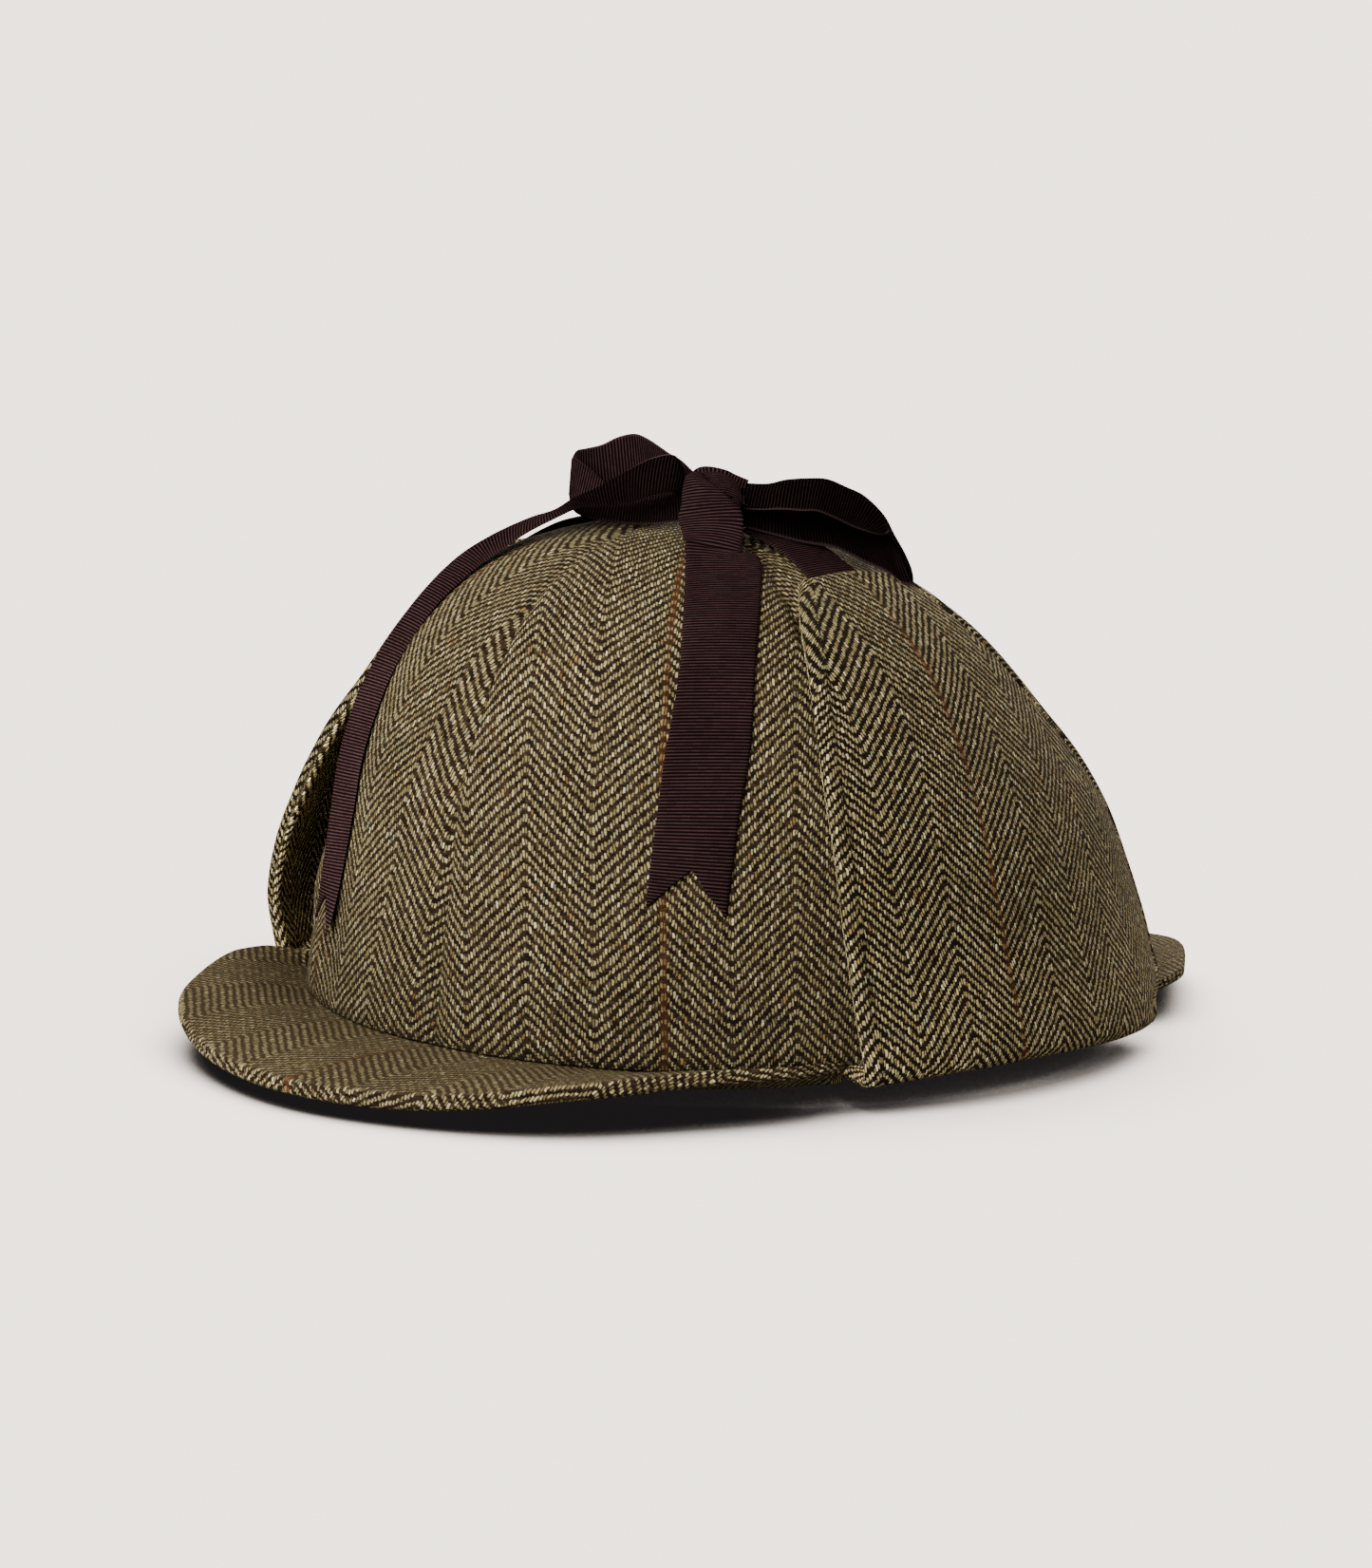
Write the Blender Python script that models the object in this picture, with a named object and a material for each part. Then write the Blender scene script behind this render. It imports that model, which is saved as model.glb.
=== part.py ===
"""Deerstalker hat: six-gore crown, two peaks, two ear flaps tied up by a ribbon bow.

Millimetres in the tables, metres in the built objects. The front of the hat
faces -Y and the wearer's left side faces +X. The sheet of every table is the
outside of the crown, whose foot is an ellipse RIM_DROP above the floor.
"""
import math
from collections import namedtuple

import bmesh
import bpy
import numpy as np
from mathutils import Matrix

MM = 0.001

# Head size: outside half length and half width of the crown at its foot.
HALF_LENGTH = 105.0
HALF_WIDTH = 88.0
CROWN_RISE = 108.0       # foot of the crown to its top
CROWN_LEAN = 20.7        # the top sits this far forward of the middle
WALL = 2.0               # crown cloth with its seams
SEAM_GAP = 0.34          # between two neighbouring gores
SEAM_DIP = 0.9           # the seams lie this far inside the panels
GORES = 6
PEAK_THICK = 3.6         # stiffened double cloth
PEAK_TUCK = 1.8          # the peak runs under the foot of the crown
FLAP_THICK = 3.0         # two layers of cloth
RIBBON_THICK = 0.9
PIECE_GAP = 0.3
RIM_DROP = PEAK_THICK + PIECE_GAP   # foot of the crown above the floor

Profile = namedtuple("Profile", "reach rise")
CROWN_PROFILE = [
    Profile(1.000, 0.000), Profile(0.959, 0.160), Profile(0.912, 0.320),
    Profile(0.862, 0.480), Profile(0.785, 0.620), Profile(0.700, 0.740),
    Profile(0.600, 0.830), Profile(0.490, 0.900), Profile(0.375, 0.950),
    Profile(0.222, 0.985), Profile(0.000, 1.000),
]

# Angle from the middle of the peak, reach past the crown, height of the edge.
PeakRow = namedtuple("PeakRow", "angle reach edge")
PEAK = [
    PeakRow(0, 44.1, -2.4), PeakRow(12, 40.7, -1.6), PeakRow(24, 34.3, 1.9),
    PeakRow(36, 23.4, 3.7), PeakRow(46, 16.8, 3.6), PeakRow(52, 10.6, 2.8),
    PeakRow(55, 2.5, 1.0),
]
PEAK_SHARE = {-1: 1.0, 1: 1.07}   # the back peak reaches a little further
PEAK_LIFT = {-1: 1.0, 1: 0.8}     # and its edge rises less

# Flap rows: height on the crown, angles of its front and back edge, and the
# gap from the crown to its inner face, for the left and for the right flap.
FlapRow = namedtuple("FlapRow", "height front back gap_left gap_right")
FLAP = [
    FlapRow(0.4, 55.4, 114.0, 7.6, 7.0), FlapRow(5.0, 55.2, 121.5, 8.0, 8.4),
    FlapRow(14.0, 55.0, 125.0, 7.7, 10.8), FlapRow(28.0, 54.9, 125.5, 7.1, 10.6),
    FlapRow(42.0, 55.1, 123.5, 6.3, 7.7), FlapRow(55.0, 55.4, 119.5, 4.6, 4.4),
    FlapRow(67.0, 56.4, 116.0, 3.0, 2.0), FlapRow(78.0, 57.8, 113.0, 1.8, 0.8),
    FlapRow(87.0, 59.8, 110.4, 0.9, 0.6), FlapRow(92.6, 62.4, 108.2, 0.7, 0.6),
    FlapRow(96.3, 65.6, 105.0, 0.6, 0.6),
]

# The fold at the foot of a flap: how far out, as a share of the gap plus
# millimetres, and the height, for its under side and its upper side.
FoldRow = namedtuple("FoldRow", "share under_out under share_in upper_out upper")
FOLD = [
    FoldRow(0.0, -1.8, -2.7, 0.0, -1.8, -0.3),
    FoldRow(0.5, 0.0, -2.8, 0.5, 0.0, -0.3),
    FoldRow(1.0, 0.0, -2.6, 0.8, 0.0, -0.3),
    FoldRow(1.0, 1.9, -1.7, 1.0, -0.4, -0.1),
]
FOLD_FRONT = 56.2
FOLD_BACK = 110.5

# The two long edges of a ribbon, station by station.
Edge = namedtuple("Edge", "ax ay az bx by bz")
TAIL_LEFT = [
    Edge(18.9, -51.2, 105.3, 32.0, -42.6, 102.9),
    Edge(24.5, -58.5, 99.5, 34.5, -44.3, 100.1),
    Edge(31.7, -68.6, 90.5, 42.1, -55.6, 91.1),
    Edge(36.3, -75.2, 81.4, 46.9, -63.1, 81.9),
    Edge(38.4, -79.6, 72.7, 49.8, -67.2, 73.2),
    Edge(39.7, -83.5, 63.7, 52.0, -70.8, 64.3),
    Edge(41.2, -87.0, 53.5, 53.6, -75.3, 54.1),
    Edge(41.7, -89.0, 43.9, 54.2, -77.6, 43.6),
    Edge(41.7, -90.0, 33.3, 54.3, -79.3, 31.4),
]
TAIL_RIGHT = [
    Edge(8.6, -38.6, 119.4, 13.6, -46.5, 114.9),
    Edge(5.6, -38.6, 122.6, 12.4, -49.6, 115.4),
    Edge(0.7, -41.0, 121.3, 9.2, -53.8, 113.6),
    Edge(-5.3, -43.3, 117.4, 5.7, -56.6, 112.1),
    Edge(-10.5, -44.9, 114.1, 1.1, -58.5, 111.3),
    Edge(-15.6, -45.2, 111.9, -3.7, -58.7, 110.5),
    Edge(-21.6, -44.6, 109.4, -10.6, -58.6, 108.0),
    Edge(-28.5, -45.0, 106.2, -17.8, -59.6, 103.8),
    Edge(-34.9, -49.9, 102.0, -22.6, -62.8, 99.3),
    Edge(-40.5, -55.6, 96.3, -26.2, -66.3, 95.4),
    Edge(-44.4, -63.2, 87.6, -29.8, -74.6, 87.3),
    Edge(-48.4, -70.0, 76.2, -33.4, -81.0, 76.4),
    Edge(-50.2, -77.0, 65.1, -34.6, -85.8, 66.3),
    Edge(-49.8, -82.2, 53.6, -34.2, -91.6, 54.9),
    Edge(-49.9, -84.4, 42.6, -34.2, -93.6, 44.3),
    Edge(-51.0, -84.4, 31.2, -36.2, -93.4, 33.5),
    Edge(-52.6, -84.4, 20.6, -38.4, -94.2, 21.8),
]
TIE = [
    Edge(20.5, -34.5, 107.3, 20.5, -17.5, 107.8),
    Edge(27.1, -34.2, 105.7, 27.1, -17.2, 106.5),
    Edge(33.0, -34.4, 103.2, 33.0, -17.2, 104.2),
    Edge(37.4, -34.8, 100.7, 38.0, -17.3, 101.6),
    Edge(40.9, -35.2, 98.3, 42.0, -17.6, 99.1),
]
TIE_RIGHT_ROOT = [
    Edge(0.5, -34.0, 108.6, 0.5, -17.5, 109.1),
    Edge(-8.0, -34.0, 108.4, -8.0, -17.0, 108.8),
    Edge(-18.0, -34.2, 107.7, -18.0, -17.0, 108.1),
]
LOOP_LEFT = [
    Edge(16.8, -26.2, 117.4, 22.8, -34.6, 114.0),
    Edge(19.9, -21.2, 118.0, 28.0, -33.4, 112.9),
    Edge(24.1, -16.9, 118.9, 33.8, -30.9, 112.8),
    Edge(27.9, -11.9, 119.1, 37.2, -25.4, 111.7),
    Edge(30.8, -5.4, 117.0, 39.7, -18.8, 109.6),
    Edge(33.2, 1.5, 112.8, 41.5, -13.4, 108.8),
    Edge(35.4, 5.6, 108.0, 44.6, -9.8, 108.2),
    Edge(38.0, 6.0, 104.4, 48.8, -8.4, 104.0),
    Edge(38.4, 5.0, 101.6, 50.2, -9.2, 101.5),
    Edge(34.2, 4.2, 105.6, 45.6, -9.8, 102.8),
    Edge(29.6, 0.0, 109.2, 39.6, -13.6, 103.9),
    Edge(26.0, -5.0, 111.4, 35.0, -18.8, 105.6),
    Edge(22.8, -10.9, 113.0, 30.2, -24.6, 108.0),
    Edge(19.6, -19.0, 113.6, 24.8, -29.6, 110.2),
]
LOOP_RIGHT = [
    Edge(7.6, -31.2, 118.2, 11.6, -37.0, 115.6),
    Edge(-5.0, -25.4, 122.0, 2.2, -33.0, 113.0),
    Edge(-16.1, -22.4, 125.6, -10.4, -26.6, 110.6),
    Edge(-20.7, -23.3, 124.6, -14.5, -28.7, 110.2),
    Edge(-24.6, -24.9, 122.9, -17.2, -31.6, 110.2),
    Edge(-28.6, -27.6, 121.4, -20.2, -36.2, 110.6),
    Edge(-29.2, -30.4, 118.4, -18.9, -41.7, 111.2),
    Edge(-25.4, -30.8, 115.4, -15.7, -43.0, 110.2),
    Edge(-20.0, -30.2, 113.4, -10.6, -43.2, 109.2),
    Edge(-13.5, -29.8, 112.6, -4.4, -43.4, 109.3),
    Edge(-7.7, -30.0, 113.2, 1.0, -42.4, 109.6),
    Edge(1.8, -32.0, 114.6, 8.2, -41.0, 111.2),
]

# Knot: middle, half sizes, the slope it lies on and the way across it.
KNOT_MIDDLE = (16.4, -38.6, 113.5)
KNOT_HALF = (7.4, 10.6, 4.4)
KNOT_ACROSS = (0.82, 0.57, 0.06)
KNOT_UP = (-0.50, 0.585, 0.64)

Slot = namedtuple("Slot", "name colour rough")
TWEED = Slot("tweed", (0.125, 0.096, 0.052), 0.92)
TWEED_PEAK = Slot("peak_tweed", (0.098, 0.074, 0.042), 0.93)
RIBBON = Slot("grosgrain_ribbon", (0.020, 0.011, 0.011), 0.78)


def clear_scene():
    """Remove everything the start-up file holds."""
    for obj in list(bpy.data.objects):
        bpy.data.objects.remove(obj, do_unlink=True)
    for mesh in list(bpy.data.meshes):
        bpy.data.meshes.remove(mesh)


def material(slot):
    """One plain principled material per slot name."""
    made = bpy.data.materials.get(slot.name)
    if made is None:
        made = bpy.data.materials.new(slot.name)
        made.use_nodes = True
        shader = made.node_tree.nodes["Principled BSDF"]
        shader.inputs["Base Color"].default_value = (*slot.colour, 1.0)
        shader.inputs["Roughness"].default_value = slot.rough
    return made


def rows_at(table, shares, first=None, last=None):
    """Catmull-Rom curve through the rows of a table at shares 0..1."""
    rows = np.array(table, dtype=float)
    before = 2 * rows[0] - rows[1] if first is None else np.array(first, float)
    after = 2 * rows[-1] - rows[-2] if last is None else np.array(last, float)
    full = np.vstack([before, rows, after])
    out = []
    for share in shares:
        place = min(max(share, 0.0), 1.0) * (len(rows) - 1)
        k = min(int(place), len(rows) - 2)
        u = place - k
        p0, p1, p2, p3 = full[k], full[k + 1], full[k + 2], full[k + 3]
        bend = 2 * p0 - 5 * p1 + 4 * p2 - p3
        turn = 3 * p1 - p0 - 3 * p2 + p3
        out.append(0.5 * (2 * p1 + (p2 - p0) * u + bend * u * u + turn * u ** 3))
    return np.array(out)


def crown_at(angle, share, dip=0.0):
    """Outside of the crown at an angle and a share of its profile."""
    top = CROWN_PROFILE[-2]
    reach, rise = rows_at(CROWN_PROFILE, [share], last=(-top.reach, top.rise))[0]
    reach = max(reach, 0.0)
    half_width = HALF_WIDTH * reach - dip
    half_length = HALF_LENGTH * reach - dip
    x = half_width * math.sin(angle)
    y = -half_length * math.cos(angle) - CROWN_LEAN * rise
    return np.array([x, y, CROWN_RISE * rise])


def crown_normal(angle, share):
    """Outward direction of the crown there."""
    step = 0.004
    around = crown_at(angle + step, share) - crown_at(angle - step, share)
    low = max(share - step, 0.0)
    high = min(share + step, 0.998)
    upward = crown_at(angle, high) - crown_at(angle, low)
    normal = np.cross(around, upward)
    return normal / np.linalg.norm(normal)


def share_of_height(height):
    """Share of the profile at a height above the foot of the crown."""
    low, high = 0.0, 1.0
    for _ in range(40):
        middle = 0.5 * (low + high)
        rise = rows_at(CROWN_PROFILE, [middle])[0][1] * CROWN_RISE
        if rise < height:
            low = middle
        else:
            high = middle
    return 0.5 * (low + high)


def ellipse_angle(arc_share):
    """Angle round the foot at a share of its length, from the front."""
    angles = np.linspace(0.0, 2 * math.pi, 1441)
    x = HALF_WIDTH * np.sin(angles)
    y = -HALF_LENGTH * np.cos(angles)
    run = np.concatenate([[0.0], np.cumsum(np.hypot(np.diff(x), np.diff(y)))])
    return float(np.interp(arc_share * run[-1], run, angles))


def sheet_solid(name, front, back, slot):
    """Closed body between two grids of points of one size."""
    rows, columns = front.shape[:2]
    count = rows * columns
    points = np.vstack([front.reshape(-1, 3), back.reshape(-1, 3)])
    faces = []

    def at(layer, i, j):
        return layer * count + i * columns + j

    for i in range(rows - 1):
        for j in range(columns - 1):
            faces.append((at(0, i, j), at(0, i, j + 1), at(0, i + 1, j + 1), at(0, i + 1, j)))
            faces.append((at(1, i, j), at(1, i + 1, j), at(1, i + 1, j + 1), at(1, i, j + 1)))
        faces.append((at(0, i, 0), at(0, i + 1, 0), at(1, i + 1, 0), at(1, i, 0)))
        k = columns - 1
        faces.append((at(0, i, k), at(1, i, k), at(1, i + 1, k), at(0, i + 1, k)))
    for j in range(columns - 1):
        faces.append((at(0, 0, j), at(1, 0, j), at(1, 0, j + 1), at(0, 0, j + 1)))
        k = rows - 1
        faces.append((at(0, k, j), at(0, k, j + 1), at(1, k, j + 1), at(1, k, j)))
    return closed_body(name, points, faces, slot)


def closed_body(name, points, faces, slot):
    """Mesh object from millimetre points, turned outside out."""
    lifted = (np.array(points) + np.array([0.0, 0.0, RIM_DROP])) * MM
    mesh = bpy.data.meshes.new(name)
    mesh.from_pydata([tuple(p) for p in lifted], [], faces)
    mesh.update()
    volume = 0.0
    mesh.calc_loop_triangles()
    for tri in mesh.loop_triangles:
        a, b, c = (lifted[k] for k in tri.vertices)
        volume += float(np.dot(a, np.cross(b, c)))
    if volume < 0.0:
        mesh.flip_normals()
    for polygon in mesh.polygons:
        polygon.use_smooth = True
    mesh.materials.append(material(slot))
    obj = bpy.data.objects.new(name, mesh)
    bpy.context.scene.collection.objects.link(obj)
    return obj


def crown_gore(name, number):
    """One of the six panels, from the foot of the crown to its top."""
    columns, rows = 9, 17
    start = ellipse_angle(number / GORES)
    end = ellipse_angle((number + 1) / GORES)
    outside = np.zeros((rows, columns, 3))
    inside = np.zeros((rows, columns, 3))
    for i in range(rows):
        share = 0.988 * (i / (rows - 1)) ** 0.93
        for j in range(columns):
            u = 0.5 - 0.5 * math.cos(math.pi * j / (columns - 1))
            reach = rows_at(CROWN_PROFILE, [share])[0][0]
            trim = 0.5 * SEAM_GAP / (HALF_WIDTH * reach)
            angle = (start + trim) * (1 - u) + (end - trim) * u
            near_seam = math.exp(-(min(u, 1 - u) / 0.10) ** 2)
            dip = SEAM_DIP * near_seam * min(1.0, 3.0 * reach)
            point = crown_at(angle, share, dip)
            outside[i, j] = point
            inside[i, j] = point - WALL * crown_normal(angle, share)
            if i == 0:
                inside[i, j, 2] = 0.0
    return sheet_solid(name, outside, inside, TWEED)


def peak(name, side):
    """Front (side -1) or back (side +1) peak, arched a little."""
    columns, rows = 25, 7
    top = np.zeros((rows, columns, 3))
    under = np.zeros((rows, columns, 3))
    limit = PEAK[-1].angle
    turned = [PeakRow(-row.angle, row.reach, row.edge) for row in PEAK[:0:-1]]
    table = turned + PEAK
    places = [row.angle for row in table]
    for j in range(columns):
        degrees = -limit + 2 * limit * j / (columns - 1)
        share = float(np.interp(degrees, places, np.linspace(0, 1, len(places))))
        _, reach, edge = rows_at(table, [share])[0]
        reach *= PEAK_SHARE[side]
        edge = PEAK[0].edge + (edge - PEAK[0].edge) * PEAK_LIFT[side]
        angle = math.radians(degrees)
        out = np.array([math.sin(angle) / HALF_WIDTH, -math.cos(angle) / HALF_LENGTH])
        out = out / np.linalg.norm(out)
        foot = np.array([HALF_WIDTH * math.sin(angle), -HALF_LENGTH * math.cos(angle)])
        for i in range(rows):
            v = max(i - 1, 0) / (rows - 2)
            run = 0.6 + (reach - 0.6) * v if i else -PEAK_TUCK
            rim = -PIECE_GAP
            rise = (edge + 2.0 - rim) * v ** 1.2 + 0.9 * math.sin(math.pi * v)
            spot = foot + out * run
            end = (abs(degrees) / limit) ** 3
            thick = PEAK_THICK * (1.0 - 0.64 * end * (1.0 - 0.4 * v))
            if v > 0.99:
                rise -= 0.7
                thick -= 0.6
            height = rim + rise
            top[i, j] = (spot[0], spot[1] * -side, height)
            under[i, j] = (spot[0], spot[1] * -side, max(height - thick, -RIM_DROP))
    return sheet_solid(name, top, under, TWEED_PEAK)


def flap_point(row, u, lift, side):
    """Point of an ear flap before it is mirrored, lifted off the crown."""
    height, front, back, gap_left, gap_right = row
    gap = gap_left if side > 0 else gap_right
    angle = math.radians(front * (1 - u) + back * u)
    share = share_of_height(max(height, 0.0))
    point = crown_at(angle, share) + crown_normal(angle, share) * (gap + lift)
    if height < 3.0:
        point[2] = height
    return point


def fold_point(angle, out, height):
    """Point beside the foot of the crown, a distance out from it."""
    foot = crown_at(angle, 0.0)
    normal = np.array([math.sin(angle) / HALF_WIDTH, -math.cos(angle) / HALF_LENGTH, 0.0])
    point = foot + normal / np.linalg.norm(normal) * out
    point[2] = height
    return point


def flap_fold(side, columns):
    """Rows of the fold that is sewn under the foot of the crown."""
    gap = FLAP[0].gap_left if side > 0 else FLAP[0].gap_right
    under, upper = [], []
    for row in FOLD:
        angles = np.radians(np.linspace(FOLD_FRONT, FOLD_BACK, columns))
        below = gap * row.share + row.under_out
        above = gap * row.share_in + row.upper_out
        under.append([fold_point(a, below, row.under) for a in angles])
        upper.append([fold_point(a, above, row.upper) for a in angles])
    return np.array(under), np.array(upper)


def ear_flap(name, side):
    """Double-cloth flap folded up over the crown; side +1 is the left."""
    columns, rows = 15, 15
    outside = np.zeros((rows, columns, 3))
    inside = np.zeros((rows, columns, 3))
    table = rows_at(FLAP, np.linspace(0.0, 1.0, rows))
    for i in range(rows):
        for j in range(columns):
            u = j / (columns - 1)
            arch = 1.6 * math.sin(math.pi * u) * (i / (rows - 1)) ** 5
            row = table[i] + np.array([arch, 0.0, 0.0, 0.0, 0.0])
            outside[i, j] = flap_point(row, u, FLAP_THICK, side)
            inside[i, j] = flap_point(row, u, 0.0, side)
    under, upper = flap_fold(side, columns)
    outside = np.concatenate([under, outside])
    inside = np.concatenate([upper, inside])
    outside[:, :, 0] *= side
    inside[:, :, 0] *= side
    return sheet_solid(name, outside, inside, TWEED)


def ribbon(name, table, stations, bow=0.0, notch=0.0):
    """Flat ribbon between two edge curves; bow lifts its middle."""
    edges = rows_at(table, np.linspace(0.0, 1.0, stations))
    a, b = edges[:, :3], edges[:, 3:]
    along = np.gradient(0.5 * (a + b), axis=0)
    across = b - a
    normal = np.cross(along, across)
    normal /= np.linalg.norm(normal, axis=1)[:, None]
    columns = 5
    front = np.zeros((stations, columns, 3))
    back = np.zeros((stations, columns, 3))
    for j in range(columns):
        u = j / (columns - 1)
        middle = a * (1 - u) + b * u
        raised = middle + normal * (bow * (1 - (2 * u - 1) ** 2))
        if notch:
            pull = notch * (1 - abs(2 * u - 1))
            back_step = along[-1] / np.linalg.norm(along[-1])
            raised[-1] -= back_step * pull
        front[:, j] = raised + normal * (RIBBON_THICK / 2)
        back[:, j] = raised - normal * (RIBBON_THICK / 2)
    return sheet_solid(name, front, back, RIBBON)


def mirrored(table):
    """The same ribbon on the other side of the head."""
    return [Edge(-row.ax, row.ay, row.az, -row.bx, row.by, row.bz) for row in table]


def trimmed_by(obj, cutter):
    """Cut a ribbon where the knot grips it and keep its long side."""
    cut = obj.modifiers.new("grip", "BOOLEAN")
    cut.operation = "DIFFERENCE"
    cut.solver = "EXACT"
    cut.object = cutter
    view = bpy.context.evaluated_depsgraph_get()
    mesh = bpy.data.meshes.new_from_object(obj.evaluated_get(view))
    obj.modifiers.clear()
    obj.data = mesh
    keep_largest_island(mesh)


def keep_largest_island(mesh):
    """Drop the crumbs that a cut leaves beside the piece."""
    work = bmesh.new()
    work.from_mesh(mesh)
    work.verts.ensure_lookup_table()
    seen = set()
    islands = []
    for start in work.verts:
        if start.index in seen:
            continue
        stack = [start]
        island = []
        seen.add(start.index)
        while stack:
            vert = stack.pop()
            island.append(vert)
            for edge in vert.link_edges:
                other = edge.other_vert(vert)
                if other.index not in seen:
                    seen.add(other.index)
                    stack.append(other)
        islands.append(island)
    islands.sort(key=len)
    for island in islands[:-1]:
        bmesh.ops.delete(work, geom=island, context="VERTS")
    work.to_mesh(mesh)
    work.free()


def bow_knot(name, grow=0.0):
    """The wrap of ribbon that holds the two loops."""
    half = [size + grow for size in KNOT_HALF]
    across = np.array(KNOT_ACROSS) / np.linalg.norm(KNOT_ACROSS)
    up = np.array(KNOT_UP)
    up = up - across * float(up @ across)
    up = up / np.linalg.norm(up)
    out = np.cross(across, up)
    around, rings = 20, 12
    points = []
    for i in range(1, rings):
        lift = math.pi * (i / rings - 0.5)
        for k in range(around):
            turn = 2 * math.pi * k / around
            c = math.copysign(abs(math.cos(turn)) ** 0.75, math.cos(turn))
            s = math.copysign(abs(math.sin(turn)) ** 0.75, math.sin(turn))
            wide = abs(math.cos(lift)) ** 0.55
            high = math.copysign(abs(math.sin(lift)) ** 0.8, lift)
            spot = across * (half[0] * wide * c) + up * (half[1] * high)
            points.append(np.array(KNOT_MIDDLE) + spot + out * (half[2] * wide * s))
    low = len(points)
    points.append(np.array(KNOT_MIDDLE) - up * half[1])
    points.append(np.array(KNOT_MIDDLE) + up * half[1])
    faces = []
    for k in range(around):
        n = (k + 1) % around
        faces.append((low, n, k))
        last = (rings - 2) * around
        faces.append((low + 1, last + k, last + n))
        for i in range(rings - 2):
            faces.append((i * around + k, i * around + n, (i + 1) * around + n, (i + 1) * around + k))
    return closed_body(name, points, faces, RIBBON)


def build():
    """Every piece of the hat."""
    clear_scene()
    names = ("front_left", "left", "back_left", "back_right", "right", "front_right")
    for number, place in enumerate(names):
        crown_gore("crown_gore_" + place, number)
    peak("front_peak", -1)
    peak("back_peak", 1)
    ear_flap("ear_flap_left", 1)
    ear_flap("ear_flap_right", -1)
    ribbons = [
        ribbon("flap_tie_left", TIE, 12, bow=0.35),
        ribbon("flap_tie_right", TIE_RIGHT_ROOT + mirrored(TIE[1:]), 16, bow=-0.35),
        ribbon("bow_loop_left", LOOP_LEFT, 40),
        ribbon("bow_loop_right", LOOP_RIGHT, 36),
        ribbon("bow_tail_left", TAIL_LEFT, 18, bow=0.35, notch=9.0),
        ribbon("bow_tail_right", TAIL_RIGHT, 34, bow=0.45, notch=8.0),
    ]
    grip = bow_knot("grip", PIECE_GAP + 0.05)
    for piece in ribbons:
        trimmed_by(piece, grip)
    bpy.data.objects.remove(grip, do_unlink=True)
    bow_knot("bow_knot")
    centre_on_floor()


def centre_on_floor():
    """Put the middle of the hat's box over the origin, its base at z = 0."""
    pieces = [obj for obj in bpy.data.objects if obj.type == "MESH"]
    spots = [vert.co for obj in pieces for vert in obj.data.vertices]
    low = [min(spot[k] for spot in spots) for k in range(3)]
    high = [max(spot[k] for spot in spots) for k in range(3)]
    shift = (-(low[0] + high[0]) / 2, -(low[1] + high[1]) / 2, -low[2])
    for obj in pieces:
        obj.data.transform(Matrix.Translation(shift))


build()
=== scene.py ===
"""Deerstalker hat in herringbone tweed, with its ear flaps tied up by a ribbon bow.

The tables are in millimetres from the middle of the crown's foot, as in the
CAD; SHIFT takes them to the frame. The front of the hat faces -Y and the
wearer's left side faces +X.
"""
import math
from collections import namedtuple
from functools import partial

import bpy
import numpy as np
from mathutils import Matrix, Vector
from mathutils import noise as perlin


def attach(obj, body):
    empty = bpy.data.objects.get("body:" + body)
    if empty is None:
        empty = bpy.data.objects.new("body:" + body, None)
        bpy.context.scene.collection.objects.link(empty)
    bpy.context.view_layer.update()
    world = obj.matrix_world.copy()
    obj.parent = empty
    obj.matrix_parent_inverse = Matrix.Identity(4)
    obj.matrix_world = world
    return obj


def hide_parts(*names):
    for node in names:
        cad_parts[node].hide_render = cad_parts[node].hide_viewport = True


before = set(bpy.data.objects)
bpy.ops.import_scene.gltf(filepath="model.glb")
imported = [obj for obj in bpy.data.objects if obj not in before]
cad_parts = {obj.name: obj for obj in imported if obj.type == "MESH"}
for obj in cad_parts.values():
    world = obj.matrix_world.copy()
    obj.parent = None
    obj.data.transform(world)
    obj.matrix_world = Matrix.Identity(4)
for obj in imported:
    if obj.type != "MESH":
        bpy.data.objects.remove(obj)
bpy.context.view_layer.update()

bl_info = {
    "name": "Deerstalker hat",
    "version": (1, 0, 0),
    "blender": (4, 5, 0),
    "location": "View3D > Sidebar > Hat",
    "description": "Builds the cloth, ribbons and studio of a deerstalker hat",
    "category": "Object",
}

MM = 0.001
SHIFT = np.array([0.13, -1.54, 3.9])

# The crown: an ellipse at its foot, a profile from foot to top that leans to
# the front, and six panels.
HALF_LENGTH = 105.0
HALF_WIDTH = 88.0
CROWN_RISE = 108.0
CROWN_LEAN = 20.7
GORES = ("front_left", "left", "back_left", "back_right", "right", "front_right")

Profile = namedtuple("Profile", "reach rise")
CROWN_PROFILE = [
    Profile(1.000, 0.000), Profile(0.959, 0.160), Profile(0.912, 0.320),
    Profile(0.862, 0.480), Profile(0.785, 0.620), Profile(0.700, 0.740),
    Profile(0.600, 0.830), Profile(0.490, 0.900), Profile(0.375, 0.950),
    Profile(0.222, 0.985), Profile(0.000, 1.000),
]

# Half of a peak, from its middle: how far it reaches out and how high its rim
# stands. The back peak, side 1, is longer and flatter.
PeakRow = namedtuple("PeakRow", "angle reach edge")
PEAK = [
    PeakRow(0, 44.1, -2.4), PeakRow(12, 40.7, -1.6), PeakRow(24, 34.3, 1.9),
    PeakRow(36, 23.4, 3.7), PeakRow(46, 16.8, 3.6), PeakRow(52, 10.6, 2.8),
    PeakRow(55, 2.5, 1.0),
]
PEAK_SHARE = {-1: 1.0, 1: 1.07}
PEAK_LIFT = {-1: 1.0, 1: 0.8}
PEAK_END = 55.0            # degrees from the middle of a peak to its end
PEAK_COLUMNS = 121
PEAK_THICK = 3.6
PEAK_UNDER = -3.9          # the surface that the peaks stand on

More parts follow.
